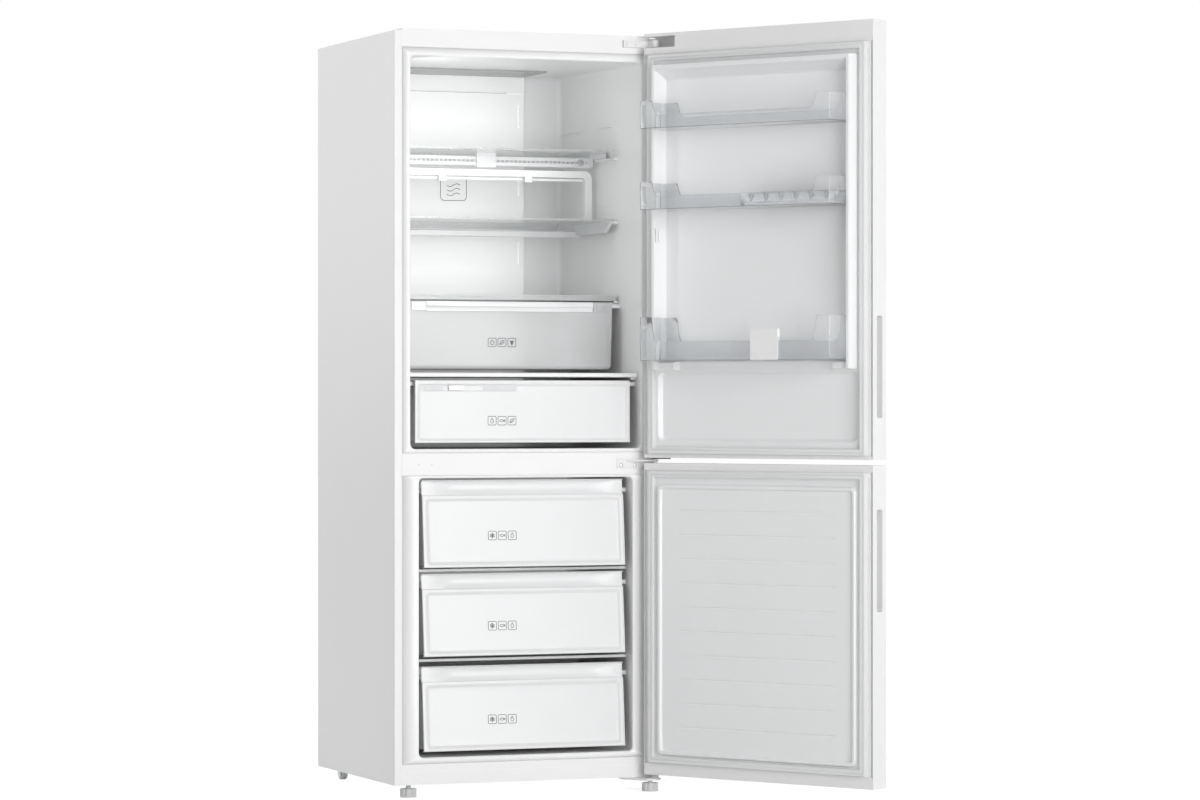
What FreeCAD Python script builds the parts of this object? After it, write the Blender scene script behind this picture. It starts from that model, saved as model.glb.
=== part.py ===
"""A 70 cm bottom freezer refrigerator, built as separate pieces in millimetres.

The origin is on the floor under the middle of the cabinet, +Z up, +X to the right as one faces the
doors and -Y towards the person.  Both doors are hinged on the right and stand open at their stops.
"""

import FreeCAD, Part
import os
import re
import Sketcher
from FreeCAD import Rotation, Vector

# ---------------------------------------------------------------- driving dimensions

SIZES = {
    # cabinet shell
    "cab_width": 700,
    "cab_depth": 608,
    "floor_gap": 31.6,
    "side_height": 1865.4,
    "sheet": 0.8,
    "return_flange": 18.5,
    "fit_gap": 0.3,
    "cover_rise": 5.5,
    "cover_thick": 6,
    "fascia_height": 45.5,
    "fascia_depth": 20,
    "flange_thick": 2,
    "liner_wall": 2,
    # fridge compartment
    "fridge_width": 617,
    "fridge_floor": 862,
    "fridge_height": 974,
    "fridge_back_wall": 54,
    "fridge_corner": 14,
    "flange_below_fascia": 5,
    "rail_top": 851.7,
    "rail_bottom": 797,
    # freezer compartment
    "freezer_width": 572,
    "freezer_floor": 98,
    "freezer_height": 692,
    "freezer_back_wall": 74,
    "step_wall": 44,
    "freezer_corner": 12,
    "base_rail_top": 82.7,
    "base_rail_thick": 1.6,
    "base_rib_low": 55.5,
    "base_rib_high": 64.2,
    "base_rib_out": 1.2,
    "base_rib_inset": 12,
    "base_lip": 12,
    # machine compartment
    "bay_depth": 192,
    "bay_top": 294,
    "pan_thick": 1.6,
    "compressor_radius": 78,
    "compressor_height": 150,
    "can_slope": 24,
    "neck_radius": 50,
    "compressor_x": 170,
    "compressor_from_back": 96,
    "mount_radius": 12,
    "mount_height": 14,
    "foot_plate_half": 95,
    "foot_plate_deep": 60,
    "foot_plate_thick": 3,
    "mount_x": 80,
    "mount_y": 46,
    "relay_out": 26,
    "relay_low": 30,
    "relay_tall": 56,
    "tray_width": 250,
    "tray_depth": 120,
    "tray_height": 34,
    "tray_wall": 2,
    "tray_corner": 10,
    "tube_radius": 3.2,
    "loop_count": 5,
    "loop_left": -230,
    "loop_length": 250,
    "loop_pitch": 28,
    "loop_lift": 20,
    "loop_wires": 9,
    "wire_radius": 1.2,
    "cover_slots": 9,
    "slot_width": 8,
    "slot_length": 110,
    "slot_pitch": 22,
    "slot_first": 90,
    "slot_low": 120,
    "gland_radius": 9,
    "gland_x": -250,
    "gland_z": 80,
    "gland_wall": 3,
    "gland_lip": 2,
    "gland_neck": 8,
    # feet and rollers
    "foot_radius": 20.5,
    "foot_height": 21,
    "stem_radius": 6,
    "stem_height": 31,
    "boss_radius": 11,
    "boss_over": 6,
    "flute_radius": 4,
    "left_foot_side": 46,
    "left_foot_behind": 30.6,
    "right_foot_side": 36.2,
    "right_foot_before": 44.3,
    "thread_clearance": 0.06,
    "roller_radius": 15,
    "roller_width": 16,
    "roller_side": 50,
    "roller_from_back": 54,
    "axle_radius": 3,
    "axle_clearance": 0.05,
    "ear_thick": 2,
    "ear_half": 10,
    "ear_below": 8,
    "tyre_groove": 4,
    "tyre_groove_deep": 1.5,
    # evaporator, fan and air duct
    "evap_height": 190,
    "evap_side_room": 46,
    "evap_depth": 46,
    "evap_z": 420,
    "evap_fins": 24,
    "fin_thick": 0.8,
    "evap_rows": 5,
    "evap_inset": 15,
    "evap_reach": 14,
    "tube_inset": 12,
    "vent_x": 150,
    "vent_half": 60,
    "vent_tall": 10,
    "guard_pitch": 17,
    "guard_bar": 4,
    "guard_hub": 14,
    "guard_margin": 10,
    "fan_gap": 4,
    "blade_thick": 2,
    "blade_chord": 21,
    "blade_pitch": 55,
    "cooler_room": 80,
    "back_cover_thick": 3,
    "fan_radius": 52,
    "fan_z": 700,
    "fan_hub": 16,
    "fan_depth": 22,
    "fan_blades": 7,
    "shaft_radius": 3,
    "duct_half": 196,
    "duct_thick": 15,
    "duct_head": 45,
    "duct_head_out": 4,
    "duct_foot": 20,
    "outlet_inset": 14,
    "outlet_wide": 8,
    "outlet_tall": 60,
    "lamp_half": 190,
    "lamp_gap": 6,
    "lamp_length": 180,
    "lamp_thick": 4,
    "lamp_corner": 6,
    # doors
    "door_gap": 10,
    "door_thick": 58,
    "door_inset": 2,
    "door_open_angle": 120,
    "pivot_inset": 18,
    "pivot_out": 34,
    "door_over_arm": 5.4,
    "door_over_cover": 2.5,
    "lower_door_low": 41.2,
    "lower_door_high": 825,
    "cap_thick": 7.5,
    "apron_thick": 8,
    "upper_band_top": 52,
    "upper_band_bottom": 9,
    "lower_band_top": 17,
    "lower_band_bottom": 30,
    "hem": 8,
    "hem_drop": 5,
    "edge_radius": 3,
    "gasket_inset": 18,
    "gasket_width": 17,
    "gasket_rise": 9.7,
    "gasket_margin": 1,
    "skin_clear": 0.2,
    # door liner relief
    "rail_side": 47,
    "rail_wide": 11,
    "rail_rise": 34,
    "rail_corner": 3,
    "rail_foot_z": 1059,
    "rail_foot_tall": 19,
    "rail_foot_long": 60,
    "rail_foot_rise": 20,
    "rail_head_drop": 81,
    "rail_head_tall": 14,
    "upper_recess_low": 1080,
    "upper_recess_cove": 23,
    "cove_overlap": 40,
    "recess_deep": 12,
    "lower_recess_low": 884,
    "lower_recess_high": 1051,
    "panel_corner": 12,
    "bin_panel_corner": 2,
    "frame_rise": 9,
    "frame_wide": 10,
    "frame_margin": 53,
    "freezer_recess_deep": 6,
    "groove_count": 10,
    "groove_pitch": 60.2,
    "groove_first": 707,
    "groove_side": 66,
    "groove_radius": 2,
    # recessed handles in the free edge of each door
    "grip_from_inner": 16,
    "grip_wide": 24,
    "grip_deep": 26,
    "grip_wall": 2,
    "upper_grip_low": 940,
    "lower_grip_low": 470,
    "grip_tall": 248,
    # hinges
    "pin_radius": 5,
    "pin_length": 17,
    "pin_clearance": 0.06,
    "pocket_wall": 2.5,
    "top_bracket_drop": 30,
    "top_bracket_tall": 17,
    "top_bracket_reach": 74.4,
    "bracket_end": 9,
    "bracket_thick": 9.5,
    "notch_reach": 80,
    "notch_below_bracket": 3.3,
    "notch_deep": 48,
    "arm_over_door": 4,
    "mid_arm_thick": 4,
    "mid_plate_reach": 91,
    "mid_plate_low": 810.5,
    "mid_plate_tall": 27,
    "plate_thick": 2,
    "bottom_arm_thick": 5,
    "bottom_arm_reach": 70,
    "bottom_collar": 6,
    # door bins
    "bin_side_gap": 0.4,
    "bin_wall": 2.4,
    "bin_back": 15,
    "bin_reach": 123,
    "bin_end_wide": 45,
    "bin_tall": 69,
    "bin_low_front": 33,
    "big_bin_tall": 108,
    "big_bin_low_front": 47,
    "top_bin_z": 1659,
    "middle_bin_z": 1457,
    "bottom_bin_z": 1081.5,
    "lug_wide": 16,
    "lug_tall": 34,
    "lug_out": 3,
    "lug_back": 26,
    "lug_above_bin": 12,
    "lug_clearance": 0.4,
    "tray_cups": 6,
    "egg_pitch": 45,
    "egg_end": 5,
    "egg_tray_side": 6,
    "egg_tray_back": 14,
    "cup_radius": 18,
    "egg_tray_wide": 60,
    "egg_tray_tall": 32,
    "egg_tray_wall": 2,
    "stop_long": 82,
    "stop_tall": 76,
    "stop_wall": 3,
    "stop_from_middle": 55,
    "stop_gap": 0.5,
    "stop_corner": 4,
    "stop_bridge": 20,
    "stop_fin": 58,
    # glass shelves
    "shelf_side_gap": 8.5,
    "shelf_set_back": 144,
    "shelf_back_gap": 24,
    "glass_thick": 5,
    "upper_shelf_z": 1617,
    "middle_shelf_z": 1440.5,
    "trim_tall": 9,
    "trim_thick": 6,
    "glass_corner": 6,
    "frame_inset": 8,
    "cheek_wide": 7,
    "cheek_tall": 12,
    "cheek_set_back": 70,
    "hanger_half": 14,
    "bar_corner": 3,
    "bar_groove_inset": 20,
    "bar_groove_deep": 4,
    "bar_groove_tall": 6,
    "clip_half": 26,
    "clip_out": 5,
    "clip_drop": 4,
    "cross_bar_z": 1584,
    "cross_bar_tall": 26,
    "cross_bar_deep": 14,
    "rack_side_gap": 16.5,
    "rack_deep": 18,
    "rack_bar": 17,
    "rack_post": 18,
    "rack_top": 1575,
    "rack_corner": 20,
    "rack_hook_x": 117,
    "rack_hook_half": 10,
    "rack_hook_drop": 14,
    "rack_rail_drop": 9,
    "rack_rail_tall": 6,
    "rack_rail_deep": 5,
    "side_bracket_end": 136,
    "side_bracket_low": 1413,
    "side_bracket_thick": 10,
    "side_bracket_slope": 45,
    "under_bar_low": 1406,
    "under_bar_tall": 17,
    "under_bar_deep": 12,
    "ledge_tall": 6,
    "ledge_set_back": 10,
    "rib_out": 3.5,
    "rib_z": 1684,
    "rib_tall": 5,
    "rib_set_back": 50,
    "rib_long": 97,
    "rib_rear_long": 138,
    # crisper and chiller
    "crisper_lid_z": 1246,
    "crisper_lid_gap": 6.5,
    "crisper_lid_frame": 9,
    "lid_frame_inset": 4,
    "crisper_corner": 14,
    "crisper_side_gap": 15.5,
    "crisper_set_back": 124,
    "crisper_end": 26,
    "crisper_low": 1061.5,
    "crisper_top": 1232,
    "drawer_wall": 2.5,
    "handle_inset": 68,
    "handle_tall": 25,
    "handle_out": 8,
    "handle_wall": 3,
    "chiller_lid_z": 1041,
    "chiller_lid_thick": 11,
    "chiller_lid_gap": 4.5,
    "chiller_lid_set_back": 20,
    "chiller_lid_edge": 4,
    "chiller_corner": 10,
    "face_corner": 8,
    "chiller_side_gap": 20.5,
    "chiller_set_back": 25,
    "chiller_end": 56,
    "chiller_low": 877,
    "chiller_top": 1033,
    "chiller_face": 5,
    "slider_x": -140,
    "slider_track": 250,
    "track_deep": 1.5,
    "track_margin": 2,
    "slider_long": 40,
    "slider_tall": 12,
    "slider_z": 1014,
    "slider_out": 4,
    "slider_travel": 80,
    "lip_out": 8,
    "lip_thick": 3,
    "runner_tall": 10,
    "runner_gap": 0.5,
    # freezer drawers
    "box_side_gap": 16.5,
    "box_face": 4,
    "box_lean": 20,
    "box_set_back": 10,
    "box_band": 38,
    "box_rim_drop": 20,
    "box_corner": 12,
    "box_end": 40,
    "low_box_end": 24,
    "top_box_low": 567.5,
    "top_box_high": 785,
    "mid_box_low": 346.9,
    "mid_box_high": 552,
    "low_box_low": 111.5,
    "low_box_high": 322,
    "glass_shelf_low": 334,
    "glass_shelf_high": 557.5,
    "freezer_glass": 4,
}

# Sizes and places that follow from the driving ones and a named clearance.
FOLLOWING = {
    "freezer_step_top": "bay_top+step_wall",
    "compressor_y": "cab_depth/2-compressor_from_back",
    "left_foot_x": "-cab_width/2+left_foot_side",
    "left_foot_y": "-cab_depth/2+left_foot_behind",
    "right_foot_x": "cab_width/2-right_foot_side",
    "right_foot_y": "-cab_depth/2-right_foot_before",
    "roller_x": "cab_width/2-roller_side",
    "roller_y": "cab_depth/2-roller_from_back",
    "evap_width": "freezer_width-2*evap_side_room",
    "back_cover_y": "cab_depth/2-freezer_back_wall-cooler_room",
    "lamp_front": "cab_depth/2-fridge_back_wall-duct_thick-duct_head_out-lamp_gap-lamp_length",
    "rail_half": "cab_width/2-door_inset-rail_side",
    "groove_half": "rail_half-groove_side",
    "bin_half": "rail_half-rail_wide-bin_side_gap",
    "top_bracket_left": "cab_width/2-pivot_inset-top_bracket_reach",
    "mid_plate_left": "cab_width/2-pivot_inset-mid_plate_reach",
    "bottom_arm_left": "cab_width/2-pivot_inset-bottom_arm_reach",
    "shelf_half": "fridge_width/2-shelf_side_gap",
    "shelf_front": "-cab_depth/2+shelf_set_back",
    "shelf_back": "cab_depth/2-fridge_back_wall-shelf_back_gap",
    "cheek_front": "shelf_front+cheek_set_back",
    "rack_half": "fridge_width/2-rack_side_gap",
    "side_bracket_back": "shelf_back-side_bracket_end",
    "ledge_front": "shelf_front+ledge_set_back",
    "rib_front": "shelf_front+rib_set_back",
    "rib_rear": "cab_depth/2-fridge_back_wall-rib_rear_long",
    "crisper_lid_half": "fridge_width/2-crisper_lid_gap",
    "crisper_half": "fridge_width/2-crisper_side_gap",
    "crisper_front": "-cab_depth/2+crisper_set_back",
    "crisper_back": "shelf_back-crisper_end",
    "handle_half": "crisper_half-handle_inset",
    "chiller_lid_half": "fridge_width/2-chiller_lid_gap",
    "chiller_lid_front": "-cab_depth/2+chiller_lid_set_back",
    "chiller_half": "fridge_width/2-chiller_side_gap",
    "chiller_front": "-cab_depth/2+chiller_set_back",
    "chiller_back": "shelf_back-chiller_end",
    "box_half": "freezer_width/2-box_side_gap",
    "box_front": "-cab_depth/2+box_set_back",
    "box_back": "back_cover_y-box_end",
    "low_box_back": "cab_depth/2-bay_depth-step_wall-low_box_end",
    "mid_arm_low": "lower_door_high+arm_over_door",
    "upper_door_low": "lower_door_high+arm_over_door+mid_arm_thick+door_over_arm",
    "upper_door_high": "floor_gap+side_height+cover_rise+door_over_cover",
    "flange_top": "floor_gap+side_height+cover_rise-fascia_height-flange_below_fascia",
    "top_bracket_low": "floor_gap+side_height+cover_rise-top_bracket_drop",
    "notch_low": "top_bracket_low-notch_below_bracket",
    "rail_head_z": "upper_door_high-rail_head_drop",
}

doc = FreeCAD.newDocument("refrigerator")
sheet = doc.addObject("Spreadsheet::Sheet", "dims")
for line, (name, size) in enumerate(SIZES.items(), start=1):
    sheet.set(f"A{line}", name)
    sheet.set(f"B{line}", str(size))
    sheet.setAlias(f"B{line}", name)
doc.recompute()

WORD = re.compile(r"\b(" + "|".join(sorted(SIZES, key=len, reverse=True)) + r")\b")
FOLLOWER = re.compile(r"\b(" + "|".join(sorted(FOLLOWING, key=len, reverse=True)) + r")\b")
parts = {}
serial = [0]


def bound(text):
    """An expression that reads the named sizes from the sheet, following the others back to them."""
    text = str(text)
    while FOLLOWER.search(text):
        text = FOLLOWER.sub(lambda found: f"({FOLLOWING[found.group()]})", text)
    return WORD.sub(r"dims.\1", text)


def value(name):
    """The number in the sheet's cell of that name."""
    return float(sheet.get(name))


def fresh(kind, hint):
    """A new object of this kind with a name of its own."""
    serial[0] += 1
    return doc.addObject(kind, f"{hint}_{serial[0]}")


def bind(obj, **formulas):
    """Tie properties of an object to formulas of the named sizes."""
    for path, text in formulas.items():
        obj.setExpression(path.replace("__", "."), bound(text))


def place(obj, x="0", y="0", z="0"):
    """Put an object's own origin at a point given by formulas."""
    bind(obj, Placement__Base__x=x, Placement__Base__y=y, Placement__Base__z=z)
    return obj


def keep(obj, label):
    """Name a finished sub-part."""
    obj.Label = label
    parts[label] = obj
    return obj


def box(x, y, z):
    """A block between two corners, each pair of formulas being (low, high)."""
    block = fresh("Part::Box", "block")
    bind(block, Length=f"({x[1]})-({x[0]})", Width=f"({y[1]})-({y[0]})", Height=f"({z[1]})-({z[0]})")
    return place(block, x[0], y[0], z[0])


AXES = {"x": Rotation(Vector(0, 1, 0), 90), "y": Rotation(Vector(1, 0, 0), -90), "z": Rotation()}


def rod(x, y, z, radius, length, along="z"):
    """A round bar that starts at a point and runs along an axis."""
    bar = fresh("Part::Cylinder", "rod")
    bar.Placement = FreeCAD.Placement(Vector(), AXES[along])
    bind(bar, Radius=radius, Height=length)
    return place(bar, x, y, z)


def fuse(*pieces):
    """Pieces that are made as one."""
    if len(pieces) == 1:
        return pieces[0]
    whole = fresh("Part::MultiFuse", "fuse")
    whole.Shapes = list(pieces)
    whole.Refine = True
    return whole


def cut(base, *tools):
    """A piece with other shapes taken out of it."""
    rest = fresh("Part::Cut", "cut")
    rest.Base = base
    rest.Tool = fuse(*tools)
    return rest


def shared(first, second):
    """What two shapes have in common."""
    common = fresh("Part::Common", "common")
    common.Base = first
    common.Tool = second
    return common


def group(*solids):
    """Like pieces that share one node and stay separate solids."""
    bundle = fresh("Part::Compound", "group")
    bundle.Links = list(solids)
    return bundle


def mirrored(piece):
    """The same piece on the other side of the middle plane."""
    twin = fresh("Part::Mirroring", "mirror")
    twin.Source = piece
    twin.Normal = Vector(1, 0, 0)
    return twin


def origin_plane(body, role):
    """One of a body's own three planes."""
    return next(item for item in body.Origin.OriginFeatures if item.Role == role)


def outline(body, points, role):
    """A closed sketch of straight lines through points given by formulas."""
    serial[0] += 1
    sketch = body.newObject("Sketcher::SketchObject", f"outline_{serial[0]}")
    sketch.AttachmentSupport = [(origin_plane(body, role), "")]
    sketch.MapMode = "FlatFace"
    numbers = [[sheet.evalExpression(bound(term)) for term in point] for point in points]
    count = len(points)
    for i, (u, v) in enumerate(numbers):
        nu, nv = numbers[(i + 1) % count]
        sketch.addGeometry(Part.LineSegment(Vector(u, v, 0), Vector(nu, nv, 0)), False)
    for i in range(count):
        sketch.addConstraint(Sketcher.Constraint("Coincident", i, 2, (i + 1) % count, 1))
    for i, (u, v) in enumerate(numbers):
        for kind, number, text in (("DistanceX", u, points[i][0]), ("DistanceY", v, points[i][1])):
            place_in_list = sketch.addConstraint(Sketcher.Constraint(kind, -1, 1, i, 1, number))
            sketch.setExpression(f"Constraints[{place_in_list}]", bound(text))
    return sketch


def prism(points, role, length):
    """A body padded from a straight-sided outline on one of its planes."""
    body = fresh("PartDesign::Body", "body")
    sketch = outline(body, points, role)
    serial[0] += 1
    pad = body.newObject("PartDesign::Pad", f"pad_{serial[0]}")
    pad.Profile = sketch
    pad.setExpression("Length", bound(length))
    body.recompute(True)
    return body


def rectangle(wide, tall):
    """The four corners of a rectangle that starts at the body's origin."""
    return [("0", "0"), (wide, "0"), (wide, tall), ("0", tall)]


def runs_along(edge, axis):
    """Whether a straight edge is parallel to an axis."""
    if edge.Curve.TypeId != "Part::GeomLine":
        return False
    return abs(abs(edge.tangentAt(edge.FirstParameter).dot(axis)) - 1) < 1e-6


def soften(body, radius, chosen):
    """Round those edges of a body for which chosen(edge) holds."""
    base = body.Tip
    edges = base.Shape.Edges
    names = [f"Edge{i}" for i, edge in enumerate(edges, start=1) if chosen(edge)]
    serial[0] += 1
    fillet = body.newObject("PartDesign::Fillet", f"round_{serial[0]}")
    fillet.Base = (base, names)
    fillet.setExpression("Radius", bound(radius))
    body.recompute(True)
    return body


DIRECTIONS = {"x": Vector(1, 0, 0), "y": Vector(0, 1, 0), "z": Vector(0, 0, 1)}


def rounded(x, y, z, radius, along):
    """A block whose four edges along one axis are rounded."""
    body = prism(rectangle(f"({x[1]})-({x[0]})", f"({y[1]})-({y[0]})"), "XY_Plane", f"({z[1]})-({z[0]})")
    soften(body, radius, lambda edge: runs_along(edge, DIRECTIONS[along]))
    return place(body, x[0], y[0], z[0])


def open_box(x, y, z, wall, floor, radius):
    """A tub with rounded upright corners, open at the top."""
    outside = rounded(x, y, z, radius, "z")
    inside = rounded(
        (f"{x[0]}+{wall}", f"{x[1]}-({wall})"),
        (f"{y[0]}+{wall}", f"{y[1]}-({wall})"),
        (f"{z[0]}+{floor}", f"{z[1]}+1"),
        f"{radius}-({wall})/2",
        "z",
    )
    return cut(outside, inside)


# ---------------------------------------------------------------- shared formulas

HALF = "(cab_width/2)"
FRONT = "(-cab_depth/2)"
BACK = "(cab_depth/2)"
TOP = "(floor_gap+side_height)"
COVER_TOP = "(floor_gap+side_height+cover_rise)"
FACE_HALF = "(cab_width/2-return_flange-fit_gap)"
FACE_BACK = "(-cab_depth/2+flange_thick)"
FRIDGE_HALF = "(fridge_width/2)"
FRIDGE_BACK = "(cab_depth/2-fridge_back_wall)"
FRIDGE_TOP = "(fridge_floor+fridge_height)"
FREEZER_HALF = "(freezer_width/2)"
FREEZER_BACK = "(cab_depth/2-freezer_back_wall)"
STEP_BACK = "(cab_depth/2-bay_depth-step_wall)"
FREEZER_TOP = "(freezer_floor+freezer_height)"
BAY_FRONT = "(cab_depth/2-bay_depth)"
PAN_TOP = "(floor_gap+pan_thick)"
PIVOT_X = "(cab_width/2-pivot_inset)"
PIVOT_Y = "(-cab_depth/2-pivot_out)"
DOOR_HALF = "(cab_width/2-door_inset)"
DOOR_IN = "(-cab_depth/2-door_gap)"
DOOR_OUT = "(-cab_depth/2-door_gap-door_thick)"


def both_ways(half):
    """From minus a half width to plus it."""
    return (f"-({half})", f"{half}")


# ---------------------------------------------------------------- cabinet shell


def side_panel():
    """Left side: one sheet of steel, folded over at the front, the back and the top."""
    skin = box((f"-{HALF}", f"-{HALF}+sheet"), (FRONT, f"{BACK}-sheet"), ("floor_gap", TOP))
    fold = (f"-{HALF}", f"-{HALF}+return_flange")
    front = box(fold, (FRONT, f"{FRONT}+sheet"), ("floor_gap", TOP))
    rear = box(fold, (f"{BACK}-2*sheet", f"{BACK}-sheet"), ("bay_top", TOP))
    top = box(fold, (FRONT, f"{BACK}-sheet"), (f"{TOP}-sheet", TOP))
    return fuse(skin, front, rear, top)


def top_cover():
    """Plastic top with the fascia that closes the cabinet above the door opening."""
    plate = box(both_ways(FACE_HALF), (FRONT, f"{BACK}-sheet"), (f"{COVER_TOP}-cover_thick", COVER_TOP))
    low = f"{COVER_TOP}-fascia_height"
    fascia = box(both_ways(FACE_HALF), (FRONT, f"{FRONT}+fascia_depth"), (low, COVER_TOP))
    return fuse(plate, fascia)


def back_panel():
    """Steel sheet that closes the back above the machine compartment."""
    return box(both_ways(f"{HALF}-sheet"), (f"{BACK}-sheet", BACK), ("bay_top", f"{TOP}-sheet"))


def cavity(half, back, low, high, radius, out="0"):
    """A compartment's room, with rounded edges from front to back, grown by a wall."""
    return rounded(
        (f"-{half}-{out}", f"{half}+{out}"),
        (f"{FRONT}-1", f"{back}+{out}"),
        (f"{low}-{out}", f"{high}+{out}"),
        f"{radius}+{out}",
        "y",
    )


def freezer_room(out="0"):
    """The freezer's room, shallow below the step over the machine compartment."""
    whole = cavity(FREEZER_HALF, FREEZER_BACK, "freezer_floor", FREEZER_TOP, "freezer_corner", out)
    behind = box(
        both_ways(HALF),
        (f"{STEP_BACK}+{out}", f"{FREEZER_BACK}+{out}+1"),
        (f"freezer_floor-{out}-1", f"freezer_step_top-{out}"),
    )
    return cut(whole, behind)


def fridge_liner():
    """Vacuum-formed inner tub of the refrigerator, with its flange behind the door gasket."""
    skin = cavity(FRIDGE_HALF, FRIDGE_BACK, "fridge_floor", FRIDGE_TOP, "fridge_corner", "liner_wall")
    skin = shared(skin, box(both_ways(HALF), (FRONT, BACK), ("0", TOP)))
    flange = box(both_ways(FACE_HALF), (FRONT, FACE_BACK), ("rail_top+fit_gap", "flange_top"))
    room = cavity(FRIDGE_HALF, FRIDGE_BACK, "fridge_floor", FRIDGE_TOP, "fridge_corner")
    return cut(fuse(skin, flange), room)


def freezer_liner():
    """Vacuum-formed inner tub of the freezer, stepped over the machine compartment."""
    skin = shared(freezer_room("liner_wall"), box(both_ways(HALF), (FRONT, BACK), ("0", TOP)))
    flange = box(both_ways(FACE_HALF), (FRONT, FACE_BACK), ("base_rail_top+fit_gap", "rail_bottom-fit_gap"))
    return cut(fuse(skin, flange), freezer_room())


def middle_rail():
    """Painted steel strip across the front between the two compartments."""
    return box(both_ways(FACE_HALF), (FRONT, FACE_BACK), ("rail_bottom", "rail_top"))


def base_rail():
    """Painted steel rail across the bottom front, with a pressed rib."""
    plate = box(both_ways(FACE_HALF), (FRONT, f"{FRONT}+base_rail_thick"), ("floor_gap", "base_rail_top"))
    rib = box(
        both_ways(f"{FACE_HALF}-base_rib_inset"),
        (f"{FRONT}-base_rib_out", f"{FRONT}+base_rail_thick"),
        ("base_rib_low", "base_rib_high"),
    )
    lip = box(
        both_ways(FACE_HALF), (FRONT, f"{FRONT}+base_lip"), ("base_rail_top-base_rail_thick", "base_rail_top")
    )
    return fuse(plate, rib, lip)


def cabinet_foam():
    """Foamed-in insulation that fills the shell around both tubs."""
    block = box(
        both_ways(f"{HALF}-sheet"),
        (FACE_BACK, f"{BACK}-2*sheet"),
        (PAN_TOP, f"{COVER_TOP}-cover_thick"),
    )
    fridge = cavity(FRIDGE_HALF, FRIDGE_BACK, "fridge_floor", FRIDGE_TOP, "fridge_corner", "liner_wall")
    bay = box(both_ways(HALF), (BAY_FRONT, f"{BACK}+1"), ("0", "bay_top"))
    fascia = box(
        both_ways(HALF),
        (f"{FRONT}-1", f"{FRONT}+fascia_depth"),
        (f"{COVER_TOP}-fascia_height", f"{COVER_TOP}+1"),
    )
    base = box(both_ways(HALF), (f"{FRONT}-1", f"{FRONT}+base_lip"), ("0", "base_rail_top"))
    nut = rod("left_foot_x", "left_foot_y", "floor_gap", "boss_radius", "stem_height+boss_over")
    folds = box(both_ways(HALF), (f"{BACK}-2*sheet", f"{BACK}+1"), ("0", TOP))
    left_top = box(
        (f"-{HALF}", f"-{HALF}+return_flange+fit_gap"), (FRONT, BACK), (f"{TOP}-sheet", COVER_TOP)
    )
    rooms = (fridge, freezer_room("liner_wall"), bay)
    return cut(block, *rooms, fascia, base, nut, folds, left_top, mirrored(left_top))


keep(side_panel(), "left_side_panel")
keep(mirrored(side_panel()), "right_side_panel")
keep(top_cover(), "top_cover")
keep(back_panel(), "back_panel")
keep(fridge_liner(), "fridge_liner")
keep(freezer_liner(), "freezer_liner")
keep(middle_rail(), "middle_rail")
keep(base_rail(), "base_rail")
keep(cabinet_foam(), "cabinet_foam")

# ---------------------------------------------------------------- base, feet and rollers

AXLE_Z = "roller_radius"


def ear(side_x):
    """One hanging ear that carries a roller's axle."""
    plate = box(
        (f"{side_x}-ear_thick/2", f"{side_x}+ear_thick/2"),
        ("roller_y-ear_half", "roller_y+ear_half"),
        ("roller_radius-ear_below", "floor_gap+pan_thick/2"),
    )
    hole = rod(f"{side_x}-ear_thick", "roller_y", AXLE_Z, "axle_radius", "2*ear_thick", "x")
    return cut(plate, hole)


def axle(side):
    """Pin through a roller and its two ears."""
    start = f"{side}roller_x-roller_width/2-ear_thick*1.5-1"
    return rod(start, "roller_y", AXLE_Z, "axle_radius", "roller_width+3*ear_thick+2", "x")


def base_pan():
    """Steel base plate with the left foot's nut, and the ears and riveted axles of the rear rollers."""
    plate = box(both_ways(f"{HALF}-sheet"), (f"{FRONT}+base_lip", f"{BACK}-2*sheet"), ("floor_gap", PAN_TOP))
    nut = rod("left_foot_x", "left_foot_y", "floor_gap", "boss_radius", "stem_height+boss_over")
    offset = "(roller_width/2+ear_thick)"
    ears = [ear(f"{sign}(roller_x{way}{offset})") for sign in ("", "-") for way in ("+", "-")]
    thread = rod("left_foot_x", "left_foot_y", "0", "stem_radius+thread_clearance", "floor_gap+stem_height")
    return cut(fuse(plate, nut, *ears, axle("-"), axle("")), thread)


def foot(x, y, stem):
    """Levelling foot: a fluted plastic knob on a threaded stem."""
    knob = rod(x, y, "0", "foot_radius", "foot_height")
    flutes = []
    for turn in range(0, 360, 45):
        u = f"({x})+(foot_radius+1.5)*cos({turn})"
        v = f"({y})+(foot_radius+1.5)*sin({turn})"
        flutes.append(rod(u, v, "flute_radius", "flute_radius", "foot_height"))
    return fuse(cut(knob, *flutes), rod(x, y, "foot_height-1", "stem_radius", stem))


def roller(side):
    """Rear transport roller."""
    x = f"{side}roller_x-roller_width/2"
    wheel = rod(x, "roller_y", AXLE_Z, "roller_radius", "roller_width", "x")
    middle = f"{side}roller_x"
    groove = rod(f"{middle}-tyre_groove/2", "roller_y", AXLE_Z, "roller_radius+1", "tyre_groove", "x")
    inner = "roller_radius-tyre_groove_deep"
    core = rod(f"{middle}-tyre_groove", "roller_y", AXLE_Z, inner, "2*tyre_groove", "x")
    bore = rod(f"{x}-1", "roller_y", AXLE_Z, "axle_radius+axle_clearance", "roller_width+2", "x")
    return cut(wheel, cut(groove, core), bore)


keep(base_pan(), "base_pan")
keep(foot("left_foot_x", "left_foot_y", "stem_height"), "left_foot")
keep(roller("-"), "left_roller")
keep(roller(""), "right_roller")

# ---------------------------------------------------------------- machine compartment

COMPRESSOR_LOW = f"({PAN_TOP}+mount_height+foot_plate_thick)"
COMPRESSOR_TOP = f"({COMPRESSOR_LOW}+compressor_height)"


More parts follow.
